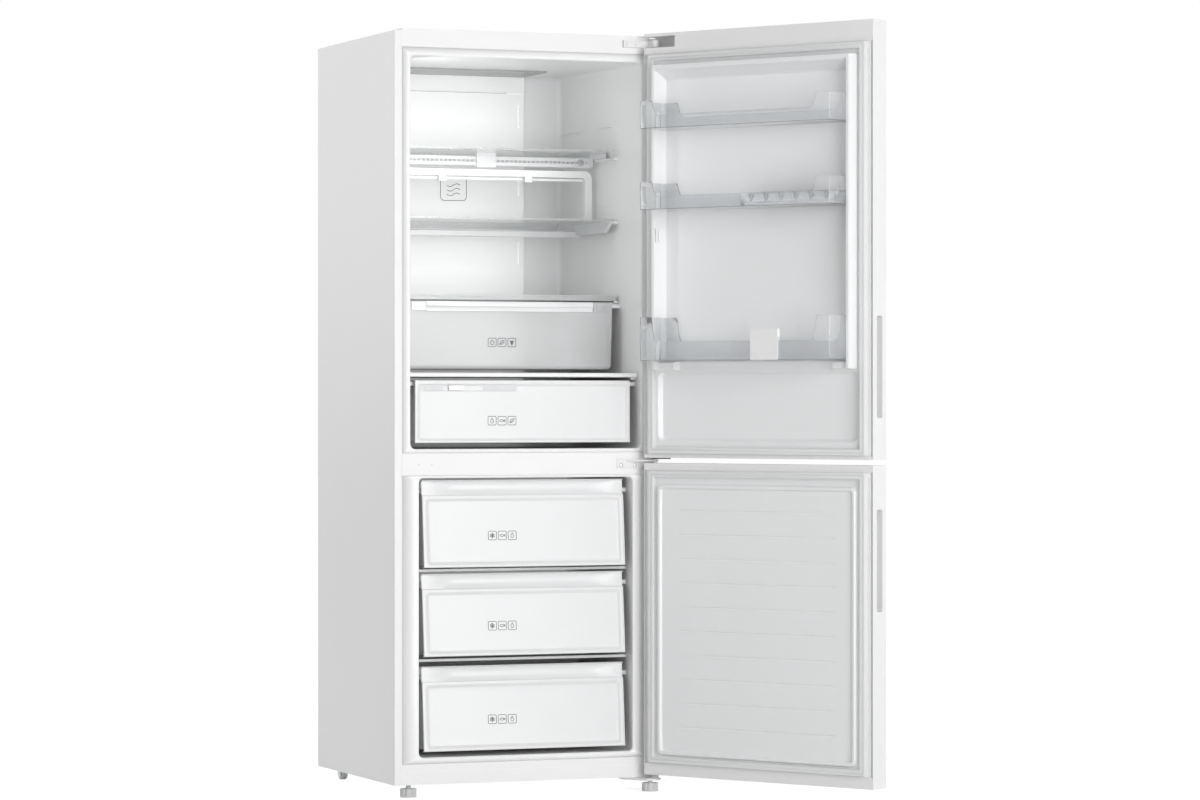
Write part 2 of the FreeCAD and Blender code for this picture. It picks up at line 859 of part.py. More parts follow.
def compressor():
    """Welded compressor can on its foot plate."""
    straight = "compressor_height-2*can_slope"
    can = rod("compressor_x", "compressor_y", f"{COMPRESSOR_LOW}+can_slope", "compressor_radius", straight)
    ends = []
    for start, first, last in (
        (COMPRESSOR_LOW, "neck_radius", "compressor_radius"),
        (f"{COMPRESSOR_TOP}-can_slope", "compressor_radius", "neck_radius"),
    ):
        end = fresh("Part::Cone", "end")
        bind(end, Radius1=first, Radius2=last, Height="can_slope")
        ends.append(place(end, "compressor_x", "compressor_y", start))
    plate = box(
        ("compressor_x-foot_plate_half", "compressor_x+foot_plate_half"),
        ("compressor_y-foot_plate_deep", "compressor_y+foot_plate_deep"),
        (f"{PAN_TOP}+mount_height", COMPRESSOR_LOW),
    )
    relay = box(
        ("compressor_x-compressor_radius-relay_out", "compressor_x-compressor_radius*0.8"),
        ("compressor_y-relay_out", "compressor_y+relay_out"),
        (f"{COMPRESSOR_LOW}+relay_low", f"{COMPRESSOR_LOW}+relay_low+relay_tall"),
    )
    return fuse(can, *ends, plate, relay)


def buffers():
    """Four rubber buffers under the compressor's foot plate."""
    stubs = []
    for x in ("compressor_x-mount_x", "compressor_x+mount_x"):
        for y in ("compressor_y-mount_y", "compressor_y+mount_y"):
            stubs.append(rod(x, y, PAN_TOP, "mount_radius", "mount_height"))
    return stubs


def drip_tray():
    """Tray over the compressor where the defrost water dries off."""
    return open_box(
        ("compressor_x-tray_width/2", "compressor_x+tray_width/2"),
        ("compressor_y-tray_depth/2", "compressor_y+tray_depth/2"),
        (COMPRESSOR_TOP, f"{COMPRESSOR_TOP}+tray_height"),
        "tray_wall",
        "tray_wall",
        "tray_corner",
    )


def bend(x, y, z, end_y, end_z):
    """Square elbow block that joins two tube ends."""
    reach = "tube_radius*1.4"
    return box(
        (f"{x}-{reach}", f"{x}+{reach}"),
        (f"{y}-{reach}", f"{end_y}+{reach}"),
        (f"{z}-{reach}", f"{end_z}+{reach}"),
    )


def condenser_loop():
    """Serpentine of steel tube beside the compressor, with its wire fins."""
    low = f"({PAN_TOP}+loop_lift)"
    pieces = []
    count = int(value("loop_count"))
    for i in range(count):
        z = f"{low}+{i}*loop_pitch"
        pieces.append(rod("loop_left", "compressor_y", z, "tube_radius", "loop_length", "x"))
        if i + 1 < count:
            end = "(loop_left+loop_length)" if i % 2 == 0 else "loop_left"
            pieces.append(bend(end, "compressor_y", z, "compressor_y", f"{z}+loop_pitch"))
    for k in range(int(value("loop_wires"))):
        x = f"loop_left+loop_length*{k + 1}/(loop_wires+1)"
        tall = "(loop_count-1)*loop_pitch+1.5*loop_lift"
        pieces.append(rod(x, "compressor_y", PAN_TOP, "wire_radius", tall))
    return fuse(*pieces)


def rear_cover():
    """Pressed steel cover of the machine compartment with its air slots."""
    plate = box(
        both_ways(f"{HALF}-sheet-fit_gap"), (f"{BACK}-2*sheet", f"{BACK}-sheet"), (PAN_TOP, "bay_top-fit_gap")
    )
    slots = []
    for side in ("-1", "1"):
        for k in range(int(value("cover_slots"))):
            x = f"{side}*(slot_first+{k}*slot_pitch)-slot_width/2"
            slots.append(
                box((x, f"{x}+slot_width"), (f"{BACK}-4", f"{BACK}+1"), ("slot_low", "slot_low+slot_length"))
            )
    gland = rod("gland_x", f"{BACK}-4", "gland_z", "gland_radius-gland_lip+0.1", "6", "y")
    return cut(plate, *slots, gland)


def cord_gland():
    """Moulded gland where the mains lead leaves the cover."""
    flange = rod("gland_x", f"{BACK}-sheet", "gland_z", "gland_radius", "sheet", "y")
    neck = rod("gland_x", f"{BACK}-gland_neck", "gland_z", "gland_radius-gland_lip", "gland_neck", "y")
    bore_radius = "gland_radius-gland_lip-gland_wall"
    bore = rod("gland_x", f"{BACK}-gland_neck-1", "gland_z", bore_radius, "gland_neck+4", "y")
    return cut(fuse(flange, neck), bore)


keep(group(compressor(), *buffers()), "compressor")
keep(drip_tray(), "drip_tray")
keep(condenser_loop(), "condenser_loop")
keep(rear_cover(), "rear_cover")
keep(cord_gland(), "cord_gland")

# ---------------------------------------------------------------- cold side

COVER_BACK = "(back_cover_y+back_cover_thick)"


def evaporator():
    """Finned tube evaporator behind the freezer's back cover."""
    count = int(value("evap_fins"))
    low = f"({COVER_BACK}+6)"
    pieces = []
    for i in range(count):
        x = f"(-evap_width/2+{i}*(evap_width-fin_thick)/{count - 1})"
        deep = (low, f"{low}+evap_depth")
        pieces.append(box((x, f"{x}+fin_thick"), deep, ("evap_z", "evap_z+evap_height")))
    near, far = f"({low}+tube_inset)", f"({low}+evap_depth-tube_inset)"
    start, run = "(-evap_width/2-evap_reach)", "(evap_width+2*evap_reach)"
    rows = int(value("evap_rows"))
    rise = "(evap_height-2*evap_inset)/(evap_rows-1)"
    for row in range(rows):
        z = f"(evap_z+evap_inset+{row}*{rise})"
        for y in (near, far):
            pieces.append(rod(start, y, z, "tube_radius", run, "x"))
        end = start if row % 2 else f"({start}+{run})"
        pieces.append(bend(end, near, z, far, z))
        other = f"({start}+{run})" if row % 2 else start
        if row + 1 < rows:
            pieces.append(bend(other, near, z, near, f"{z}+{rise}"))
    for x in ("-evap_width/2", "evap_width/2-fin_thick"):
        y = (f"{low}+evap_depth-8", FREEZER_BACK)
        z = ("evap_z+evap_inset", "evap_z+evap_height-evap_inset")
        pieces.append(box((x, f"{x}+fin_thick"), y, z))
    return fuse(*pieces)


def cover_slab():
    """The slab of the freezer's room that the back panel fills."""
    slab = box(both_ways(FREEZER_HALF), ("back_cover_y", COVER_BACK), ("freezer_step_top", FREEZER_TOP))
    return shared(freezer_room(), slab)


VENT_LEVELS = ("evap_z-20", "evap_z+30", "evap_z+200", "evap_z+235")


def evaporator_cover():
    """Freezer back panel with the air outlets and the ring in front of the fan."""
    vents = []
    for level in VENT_LEVELS:
        for side in ("-1", "1"):
            x = f"{side}*vent_x"
            y = ("back_cover_y-1", f"{COVER_BACK}+1")
            vents.append(box((f"{x}-vent_half", f"{x}+vent_half"), y, (level, f"{level}+vent_tall")))
    mouth = rod("0", "back_cover_y-1", "fan_z", "fan_radius-guard_margin", "back_cover_thick+2", "y")
    bars = []
    for k in range(-2, 3):
        z = f"fan_z+{k}*guard_pitch"
        y = ("back_cover_y", COVER_BACK)
        bars.append(box(both_ways("fan_radius"), y, (f"{z}-guard_bar/2", f"{z}+guard_bar/2")))
    hub = rod("0", "back_cover_y", "fan_z", "guard_hub", "back_cover_thick", "y")
    shaft = rod("0", COVER_BACK, "fan_z", "shaft_radius", "fan_gap+fan_depth+4", "y")
    return fuse(cut(cover_slab(), *vents, mouth), hub, shaft, *bars)


def freezer_fan():
    """Axial fan that blows the cold air into both compartments."""
    y = f"{COVER_BACK}+fan_gap"
    hub = rod("0", y, "fan_z", "fan_hub", "fan_depth", "y")
    blades = []
    count = int(value("fan_blades"))
    for i in range(count):
        turn = 360.0 / count * i
        blade = fresh("Part::Box", "blade")
        bind(blade, Length="fan_radius-fan_hub+4", Width="blade_thick", Height="blade_chord")
        lift = Rotation(Vector(0, 1, 0), turn).multiply(Rotation(Vector(1, 0, 0), value("blade_pitch")))
        blade.Placement = FreeCAD.Placement(Vector(), lift)
        start = Vector(value("fan_hub") - 6, -value("blade_thick") / 2, -value("blade_chord") / 2)
        corner = lift.multVec(start)
        bind(
            blade,
            Placement__Base__x=f"{corner.x:.6f}",
            Placement__Base__y=f"{y}+fan_depth/2{corner.y:+.6f}",
            Placement__Base__z=f"fan_z{corner.z:+.6f}",
        )
        blades.append(blade)
    bore = rod("0", f"{y}-1", "fan_z", "shaft_radius+axle_clearance", "fan_depth+2", "y")
    return cut(fuse(hub, *blades), bore)


OUTLET_LEVELS = ("fridge_floor+288", "fridge_floor+478", "fridge_floor+658", "fridge_floor+838")


def air_duct():
    """White air duct down the back of the refrigerator, with a deeper head."""
    face = f"({FRIDGE_BACK}-duct_thick)"
    panel = box(both_ways("duct_half"), (face, FRIDGE_BACK), ("fridge_floor+duct_foot", FRIDGE_TOP))
    deep = (f"{face}-duct_head_out", FRIDGE_BACK)
    head = box(both_ways("duct_half"), deep, (f"{FRIDGE_TOP}-duct_head", FRIDGE_TOP))
    outlets = []
    for level in OUTLET_LEVELS:
        for side in ("-1", "1"):
            x = f"{side}*(duct_half-outlet_inset)"
            wide = (f"{x}-outlet_wide/2", f"{x}+outlet_wide/2")
            outlets.append(box(wide, (f"{face}-1", f"{face}+8"), (level, f"{level}+outlet_tall")))
    return cut(fuse(panel, head), *outlets)


def ceiling_lamp():
    """Lens of the light strip in the refrigerator's ceiling."""
    return rounded(
        both_ways("lamp_half"),
        ("lamp_front", "lamp_front+lamp_length"),
        (f"{FRIDGE_TOP}-lamp_thick", FRIDGE_TOP),
        "lamp_corner",
        "z",
    )


keep(evaporator(), "evaporator")
keep(evaporator_cover(), "evaporator_cover")
keep(freezer_fan(), "freezer_fan")
keep(air_duct(), "air_duct")
keep(ceiling_lamp(), "ceiling_lamp")

# ---------------------------------------------------------------- hinges and the right foot


def hinge_pin(z, length):
    """A hinge pin on the door axis."""
    return rod(PIVOT_X, PIVOT_Y, z, "pin_radius", length)


def top_hinge():
    """Bracket on the fascia that reaches into the notch of the upper door."""
    tall = ("top_bracket_low", "top_bracket_low+top_bracket_tall")
    bar = box(("top_bracket_left", f"{PIVOT_X}+bracket_end"), (f"{FRONT}-bracket_thick", FRONT), tall)
    web = box((f"{PIVOT_X}-bracket_end", f"{PIVOT_X}+bracket_end"), (PIVOT_Y, FRONT), tall)
    eye = rod(PIVOT_X, PIVOT_Y, "top_bracket_low", "bracket_end", "top_bracket_tall")
    pin = hinge_pin("top_bracket_low-pin_length-4", "pin_length+5")
    return fuse(bar, web, eye, pin)


def middle_hinge():
    """Bracket on the middle rail whose arm carries a pin up and a pin down."""
    plate = box(
        ("mid_plate_left", f"{PIVOT_X}+bracket_end"),
        (f"{FRONT}-plate_thick", FRONT),
        ("mid_plate_low", "mid_plate_low+mid_plate_tall"),
    )
    arm = prism(
        [
            ("mid_plate_left+24", f"{FRONT}-plate_thick/2"),
            (f"{PIVOT_X}-bracket_end", PIVOT_Y),
            (f"{PIVOT_X}+bracket_end", PIVOT_Y),
            (f"{PIVOT_X}+bracket_end", f"{FRONT}-plate_thick/2"),
        ],
        "XY_Plane",
        "mid_arm_thick",
    )
    place(arm, z="mid_arm_low")
    eye = rod(PIVOT_X, PIVOT_Y, "mid_arm_low", "bracket_end", "mid_arm_thick")
    pin = hinge_pin("mid_arm_low-pin_length", "2*pin_length+mid_arm_thick")
    return fuse(plate, arm, eye, pin)


def bottom_hinge():
    """Steel plate under the cabinet that carries the lower pin and the right foot."""
    arm = prism(
        [
            ("bottom_arm_left", f"{FRONT}+60"),
            (f"{HALF}-6", f"{FRONT}+60"),
            (f"{HALF}-6", f"{PIVOT_Y}-10"),
            (f"{PIVOT_X}-8", "right_foot_y-13"),
            ("right_foot_x-13", "right_foot_y-13"),
            ("bottom_arm_left", f"{FRONT}-4"),
        ],
        "XY_Plane",
        "bottom_arm_thick",
    )
    place(arm, z="floor_gap-bottom_arm_thick")
    collar = rod(PIVOT_X, PIVOT_Y, "floor_gap-1", "bracket_end", "bottom_collar+1")
    pin = hinge_pin("floor_gap-1", "bottom_collar+pin_length+5")
    thread = rod("right_foot_x", "right_foot_y", "0", "stem_radius+thread_clearance", "floor_gap+1")
    return cut(fuse(arm, collar, pin), thread)


keep(top_hinge(), "top_hinge")
keep(middle_hinge(), "middle_hinge")
keep(bottom_hinge(), "bottom_hinge")
keep(foot("right_foot_x", "right_foot_y", "stem_height-18"), "right_foot")

# ---------------------------------------------------------------- doors, drawn closed


def swing(obj):
    """Turn a door's piece about the hinge axis to its open stop."""
    turn = "door_open_angle"
    obj.setExpression("Placement.Rotation.Angle", bound(turn))
    bind(
        obj,
        Placement__Base__x=f"{PIVOT_X}-({PIVOT_X}*cos({turn})-{PIVOT_Y}*sin({turn}))",
        Placement__Base__y=f"{PIVOT_Y}-({PIVOT_X}*sin({turn})+{PIVOT_Y}*cos({turn}))",
    )
    return obj


def on_door(shape, label):
    """Keep a piece drawn on the closed door, swung to the open stop."""
    holder = fresh("Part::Compound", "swung")
    holder.Links = [shape]
    return keep(swing(holder), label)


def pin_hole(z, length):
    """Running hole for a hinge pin."""
    return rod(PIVOT_X, PIVOT_Y, z, "pin_radius+pin_clearance", length)


def hinge_notch(out="0"):
    """Room for the top bracket in the upper door's corner, grown by the wall of its pocket."""
    return box(
        (f"{PIVOT_X}-notch_reach-{out}", f"{HALF}+1"),
        (f"{DOOR_IN}-notch_deep-{out}", f"{DOOR_IN}+1"),
        (f"notch_low-2*{out}", "upper_door_high-cap_thick"),
    )


def hinge_pocket():
    """The moulded pocket of the upper cap, whose floor turns on the top pin."""
    inside = box(
        both_ways(f"{DOOR_HALF}-sheet-skin_clear"),
        (DOOR_OUT, DOOR_IN),
        ("0", "upper_door_high"),
    )
    return shared(hinge_notch("pocket_wall"), inside)


def grip_pocket(low, out="0"):
    """The hollow of a recessed handle in the free edge, grown by its wall."""
    return rounded(
        (f"-{DOOR_HALF}-1", f"-{DOOR_HALF}+grip_deep+{out}"),
        (f"{DOOR_IN}-grip_from_inner-grip_wide-{out}", f"{DOOR_IN}-grip_from_inner+{out}"),
        (f"{low}-{out}", f"{low}+grip_tall+{out}"),
        f"6+{out}",
        "x",
    )


def door_skin(low, high, band_low, band_high, grip):
    """Outer steel of a door: front, two sides and the hems folded in behind."""
    tall = (low, high)
    outside = rounded(both_ways(DOOR_HALF), (DOOR_OUT, DOOR_IN), tall, "edge_radius", "z")
    front_only = box(both_ways(HALF), (f"{DOOR_OUT}-1", DOOR_IN), tall)
    inside = rounded(
        both_ways(f"{DOOR_HALF}-sheet"),
        (f"{DOOR_OUT}+sheet", f"{DOOR_IN}+20"),
        (f"{low}-1", f"{high}+1"),
        "edge_radius-sheet/2",
        "z",
    )
    square_back = fuse(
        box((f"-{DOOR_HALF}", f"-{DOOR_HALF}+sheet"), (f"{DOOR_IN}-10", DOOR_IN), tall),
        box((f"{DOOR_HALF}-sheet", DOOR_HALF), (f"{DOOR_IN}-10", DOOR_IN), tall),
    )
    hem_z = (f"{low}+{band_low}+fit_gap", f"{high}-{band_high}-fit_gap")
    hem = box(
        (f"-{DOOR_HALF}+sheet/2", f"-{DOOR_HALF}+hem"),
        (f"{DOOR_IN}-hem_drop-sheet", f"{DOOR_IN}-hem_drop"),
        hem_z,
    )
    shell = fuse(cut(shared(outside, front_only), inside), square_back, hem, mirrored(hem))
    return cut(shell, grip_pocket(grip))


def band(low, high):
    """Slab of the door's inner face that belongs to an end cap."""
    return box(both_ways(f"{DOOR_HALF}-sheet-skin_clear"), (f"{DOOR_IN}-apron_thick", DOOR_IN), (low, high))


def cap_plate(low, high):
    """Plate that closes one end of a door between the steel sides."""
    x = both_ways(f"{DOOR_HALF}-sheet-skin_clear")
    return rounded(x, (f"{DOOR_OUT}+sheet+skin_clear", DOOR_IN), (low, high), "edge_radius", "z")


def end_caps(low, high, band_low, band_high):
    """Moulded plastic caps at the door's two ends, each with its band on the inner face."""
    lower = fuse(cap_plate(low, f"{low}+cap_thick"), band(low, f"{low}+{band_low}"))
    upper = fuse(cap_plate(f"{high}-cap_thick", high), band(f"{high}-{band_high}", high))
    return lower, upper


def foam_block(low, high, band_low, band_high, recesses, grip, extra):
    """Foamed-in filling of a door."""
    core = rounded(
        both_ways(f"{DOOR_HALF}-sheet"),
        (f"{DOOR_OUT}+sheet", f"{DOOR_IN}-hem_drop-sheet"),
        (f"{low}+cap_thick", f"{high}-cap_thick"),
        "edge_radius-sheet/2",
        "z",
    )
    raised = box(
        both_ways(f"{DOOR_HALF}-hem"),
        (f"{DOOR_IN}-hem_drop-sheet-1", f"{DOOR_IN}-liner_wall"),
        (f"{low}+cap_thick", f"{high}-cap_thick"),
    )
    aprons = [
        box(both_ways(HALF), (f"{DOOR_IN}-apron_thick", f"{DOOR_IN}+1"), (low, f"{low}+{band_low}")),
        box(both_ways(HALF), (f"{DOOR_IN}-apron_thick", f"{DOOR_IN}+1"), (f"{high}-{band_high}", high)),
    ]
    return cut(fuse(core, raised), *aprons, *recesses, grip_pocket(grip, "grip_wall"), *extra)


def recess(half, deep, low, high, corner, out="0"):
    """A sunk panel in a door liner, grown by the liner's wall."""
    return rounded(
        (f"-({half})-{out}", f"{half}+{out}"),
        (f"{DOOR_IN}-{deep}-{out}", f"{DOOR_IN}+80"),
        (f"{low}-{out}", f"{high}+{out}"),
        f"{corner}+{out}",
        "y",
    )


UPPER_INNER = "rail_half-rail_wide"
COVE_LOW = "(rail_head_z-rail_head_tall-upper_recess_cove)"


def cove(out="0"):
    """Sloped ceiling of the upper sunk panel."""
    body = prism(
        [
            (f"{DOOR_IN}-recess_deep-{out}", COVE_LOW),
            (f"{DOOR_IN}+rail_rise+1", "rail_head_z-rail_head_tall"),
            (f"{DOOR_IN}+rail_rise+1", f"{COVE_LOW}-cove_overlap"),
            (f"{DOOR_IN}-recess_deep-{out}", f"{COVE_LOW}-cove_overlap"),
        ],
        "YZ_Plane",
        f"2*({UPPER_INNER})+2*{out}",
    )
    return place(body, x=f"-({UPPER_INNER})-{out}", z="0")


def upper_recesses(out="0"):
    """Both sunk panels of the refrigerator door."""
    return [
        recess(UPPER_INNER, "recess_deep", "upper_recess_low", f"{COVE_LOW}-10", "bin_panel_corner", out),
        cove(out),
        recess("rail_half", "recess_deep", "lower_recess_low", "lower_recess_high", "panel_corner", out),
    ]


LUG_FRONT = f"({DOOR_IN}-recess_deep+lug_back)"


def lug(z):
    """Moulded lug on the inner face of the left bin rail."""
    base = f"{z}+lug_above_bin"
    return rounded(
        (f"-({UPPER_INNER})-1", f"-({UPPER_INNER})+lug_out"),
        (LUG_FRONT, f"{LUG_FRONT}+lug_wide"),
        (base, f"{base}+lug_tall"),
        "3",
        "x",
    )


def liner_sheet(low, high, band_low, band_high):
    """Flat flange of a door liner, between the steel hems and the end caps."""
    z = (f"{low}+{band_low}+fit_gap", f"{high}-{band_high}-fit_gap")
    return box(both_ways(f"{DOOR_HALF}-hem-fit_gap"), (f"{DOOR_IN}-liner_wall", DOOR_IN), z)


def fridge_door_liner():
    """Vacuum-formed liner with two rails of lugs that carry the bins."""
    flange = liner_sheet("upper_door_low", "upper_door_high", "upper_band_bottom", "upper_band_top")
    deep = f"{DOOR_IN}-liner_wall/2"
    tall = (deep, f"{DOOR_IN}+rail_rise")
    rail_x = ("-rail_half", f"-({UPPER_INNER})")
    rail = rounded(rail_x, tall, ("rail_foot_z", "rail_head_z"), "rail_corner", "z")
    head = box(
        both_ways(UPPER_INNER),
        (deep, f"{DOOR_IN}+rail_rise"),
        (f"{COVE_LOW}-2", "rail_head_z"),
    )
    toe = rounded(
        ("-rail_half", "-rail_half+rail_foot_long+rail_wide"),
        (deep, f"{DOOR_IN}+rail_foot_rise"),
        ("rail_foot_z", "rail_foot_z+rail_foot_tall"),
        "rail_foot_tall/2-0.5",
        "y",
    )
    trough = [
        cut(outer, box(both_ways(HALF), (DOOR_IN, f"{DOOR_IN}+100"), ("0", "upper_door_high")))
        for outer in upper_recesses("liner_wall")
    ]
    solid = fuse(flange, rail, mirrored(rail), head, toe, mirrored(toe), *trough)
    hollow = cut(solid, *upper_recesses())
    lugs = [lug(z) for z in ("top_bin_z", "middle_bin_z", "bottom_bin_z")]
    lugs.append(lug("middle_bin_z-92"))
    toes = shared(fuse(toe, mirrored(toe)), box(both_ways(HALF), (DOOR_IN, f"{DOOR_IN}+100"), ("0", TOP)))
    return fuse(hollow, toes, *lugs, *[mirrored(one) for one in lugs])


def freezer_door_liner():
    """Vacuum-formed liner with one raised frame and a panel of shallow grooves."""
    flange = liner_sheet("lower_door_low", "lower_door_high", "lower_band_bottom", "lower_band_top")
    low, high = "(lower_door_low+frame_margin)", "(lower_door_high-frame_margin)"
    deep = (f"{DOOR_IN}-liner_wall/2", f"{DOOR_IN}+frame_rise")
    frame = rounded(both_ways("rail_half"), deep, (low, high), "panel_corner", "y")
    sunk = rounded(
        both_ways("rail_half-frame_wide"),
        (f"{DOOR_IN}+frame_rise-freezer_recess_deep", f"{DOOR_IN}+50"),
        (f"{low}+frame_wide", f"{high}-frame_wide"),
        "panel_corner-3",
        "y",
    )
    core = rounded(
        both_ways("rail_half-liner_wall"),
        (f"{DOOR_IN}-liner_wall-1", f"{DOOR_IN}+frame_rise-freezer_recess_deep-liner_wall"),
        (f"{low}+liner_wall", f"{high}-liner_wall"),
        "panel_corner-liner_wall",
        "y",
    )
    grooves = []
    for i in range(int(value("groove_count"))):
        z = f"groove_first-{i}*groove_pitch"
        y = f"{DOOR_IN}+frame_rise-freezer_recess_deep+groove_radius*0.4"
        grooves.append(rod("-groove_half", y, z, "groove_radius", "2*groove_half", "x"))
    return cut(fuse(flange, frame), sunk, core, *grooves)


def freezer_foam_core():
    """Filling of the raised frame on the freezer door."""
    low, high = "(lower_door_low+frame_margin)", "(lower_door_high-frame_margin)"
    return rounded(
        both_ways("rail_half-liner_wall"),
        (f"{DOOR_IN}-liner_wall-1", f"{DOOR_IN}+frame_rise-freezer_recess_deep-liner_wall"),
        (f"{low}+liner_wall", f"{high}-liner_wall"),
        "panel_corner-liner_wall",
        "y",
    )


def gasket(low, high, band_low, band_high):
    """Magnetic door seal, a soft frame that just meets the cabinet's flange."""
    half = f"({DOOR_HALF}-gasket_inset)"
    z_low, z_high = f"({low}+{band_low}+gasket_margin)", f"({high}-{band_high}-gasket_margin)"
    y = (DOOR_IN, f"{DOOR_IN}+gasket_rise")
    outside = box(both_ways(half), y, (z_low, z_high))
    inside = box(
        both_ways(f"{half}-gasket_width"),
        (f"{DOOR_IN}-1", f"{DOOR_IN}+20"),
        (f"{z_low}+gasket_width", f"{z_high}-gasket_width"),
    )
    ring = cut(outside, inside)
    slit_out = box(
        both_ways(f"{half}+1"),
        (f"{DOOR_IN}+3", f"{DOOR_IN}+4.5"),
        (f"{z_low}-1", f"{z_high}+1"),
    )
    slit_in = box(
        both_ways(f"{half}-5"), (f"{DOOR_IN}+2", f"{DOOR_IN}+6"), (f"{z_low}+5", f"{z_high}-5")
    )
    return cut(ring, cut(slit_out, slit_in))


def grip(low):
    """Plastic cup that lines the recessed handle."""
    inside = box((f"-{DOOR_HALF}+sheet", "0"), (DOOR_OUT, DOOR_IN), ("0", "upper_door_high"))
    return cut(shared(grip_pocket(low, "grip_wall"), inside), grip_pocket(low))


UPPER = ("upper_door_low", "upper_door_high", "upper_band_bottom", "upper_band_top")
LOWER = ("lower_door_low", "lower_door_high", "lower_band_bottom", "lower_band_top")
UPPER_TOP_PIN = "top_bracket_low-pin_length-5"
MID_UP = "upper_door_low"
MID_DOWN = "mid_arm_low-pin_length-1"

upper_pins = [pin_hole(UPPER_TOP_PIN, "pin_length+10"), pin_hole(f"{MID_UP}-1", "pin_length+4")]
lower_pins = [pin_hole(MID_DOWN, "pin_length+4"), pin_hole("lower_door_low-1", "bottom_collar+pin_length+4")]

on_door(cut(door_skin(*UPPER, "upper_grip_low"), hinge_notch()), "fridge_door_skin")
upper_lower_cap, upper_upper_cap = end_caps(*UPPER)
notched_cap = cut(fuse(upper_upper_cap, hinge_pocket()), hinge_notch(), upper_pins[0])
on_door(group(cut(upper_lower_cap, upper_pins[1]), notched_cap), "fridge_door_caps")
upper_extra = [hinge_notch("pocket_wall"), *upper_pins]
on_door(
    foam_block(*UPPER, upper_recesses("liner_wall"), "upper_grip_low", upper_extra), "fridge_door_foam"
)
on_door(fridge_door_liner(), "fridge_door_liner")
on_door(gasket(*UPPER), "fridge_door_gasket")
on_door(grip("upper_grip_low"), "fridge_door_grip")

on_door(door_skin(*LOWER, "lower_grip_low"), "freezer_door_skin")
lower_lower_cap, lower_upper_cap = end_caps(*LOWER)
on_door(
    group(cut(lower_lower_cap, lower_pins[1]), cut(lower_upper_cap, lower_pins[0])), "freezer_door_caps"
)
lower_filling = fuse(foam_block(*LOWER, [], "lower_grip_low", lower_pins), freezer_foam_core())
on_door(lower_filling, "freezer_door_foam")
on_door(freezer_door_liner(), "freezer_door_liner")
on_door(gasket(*LOWER), "freezer_door_gasket")
on_door(grip("lower_grip_low"), "freezer_door_grip")

# ---------------------------------------------------------------- door bins

BIN_BACK_Y = f"({PIVOT_Y}+bin_back)"
BIN_FRONT_Y = f"({PIVOT_Y}+bin_reach)"


def door_bin(z, tall, low_front):
    """Clear bin with raised front corners; slots in its ends drop over the lugs."""
    tub = open_box(
        both_ways("bin_half"), (BIN_BACK_Y, BIN_FRONT_Y), (z, f"{z}+{tall}"), "bin_wall", "bin_wall", "8"
    )
    dip = rounded(
        both_ways("bin_half-bin_end_wide"),
        (f"{BIN_FRONT_Y}-10", f"{BIN_FRONT_Y}+1"),
        (f"{z}+{low_front}", f"{z}+{tall}+40"),
        "18",
        "y",
    )
    slot = box(
        ("-bin_half-1", f"-({UPPER_INNER})+lug_out+lug_clearance"),
        (f"{LUG_FRONT}-lug_clearance", f"{LUG_FRONT}+lug_wide+lug_clearance"),
        (f"{z}-1", f"{z}+lug_above_bin+lug_tall+lug_clearance"),
    )
    return cut(tub, dip, slot, mirrored(slot))


def egg_tray():
    """Moulded tray with a row of cups, stood in the middle bin at its free end."""
    length = "(tray_cups*egg_pitch+2*egg_end)"
    x0 = "(-bin_half+bin_wall+egg_tray_side)"
    y0 = f"({BIN_BACK_Y}+bin_wall+egg_tray_back)"
    z0 = "(middle_bin_z+bin_wall+fit_gap)"
    outside = rounded(
        (x0, f"{x0}+{length}"), (y0, f"{y0}+egg_tray_wide"), (z0, f"{z0}+egg_tray_tall"), "6", "z"
    )
    inside = box(
        (f"{x0}+egg_tray_wall", f"{x0}+{length}-egg_tray_wall"),
        (f"{y0}+egg_tray_wall", f"{y0}+egg_tray_wide-egg_tray_wall"),
        (f"{z0}-1", f"{z0}+egg_tray_tall-egg_tray_wall"),
    )
    cups = []
    for i in range(int(value("tray_cups"))):
        x = f"{x0}+egg_end+({i}+0.5)*egg_pitch"
        cups.append(rod(x, f"{y0}+egg_tray_wide/2", f"{z0}-1", "cup_radius", "egg_tray_tall+2"))
    return cut(outside, inside, *cups)


def bottle_stop():
    """White clip-on block that keeps bottles from rolling in the bottom bin."""
    x0 = "(-stop_from_middle-stop_long)"
    outer = f"({BIN_FRONT_Y}+stop_gap)"
    inner = f"({BIN_FRONT_Y}-bin_wall-stop_gap)"
    floor = "(bottom_bin_z+bin_wall+stop_gap)"
    top = "(bottom_bin_z+stop_tall)"
    wide = (x0, f"{x0}+stop_long")
    front = rounded(wide, (outer, f"{outer}+stop_wall"), ("bottom_bin_z", top), "stop_corner", "y")
    back = box(wide, (f"{inner}-stop_wall", inner), (floor, top))
    bridge = box(wide, (f"{inner}-stop_wall", f"{outer}+stop_wall"), (f"{top}-stop_bridge", top))
    fin = box((f"{x0}+stop_long-stop_wall", f"{x0}+stop_long"), (f"{inner}-stop_fin", inner), (floor, top))
    return fuse(front, back, bridge, fin)


on_door(door_bin("top_bin_z", "bin_tall", "bin_low_front"), "top_bin")
on_door(door_bin("middle_bin_z", "bin_tall", "bin_low_front"), "middle_bin")
on_door(door_bin("bottom_bin_z", "big_bin_tall", "big_bin_low_front"), "bottom_bin")
on_door(egg_tray(), "egg_tray")
on_door(bottle_stop(), "bottle_stop")

# ---------------------------------------------------------------- glass shelves


def shelf_glass(z):
    """Toughened glass plate."""
    deep = ("shelf_front", "shelf_back")
    return rounded(both_ways("shelf_half"), deep, (z, f"{z}+glass_thick"), "glass_corner", "z")


def shelf_rear_trim(z):
    """Plastic trim under the rear edge of a shelf."""
    deep = ("shelf_back-trim_thick", "shelf_back")
    return box(both_ways("shelf_half-frame_inset"), deep, (f"{z}-trim_tall", z))


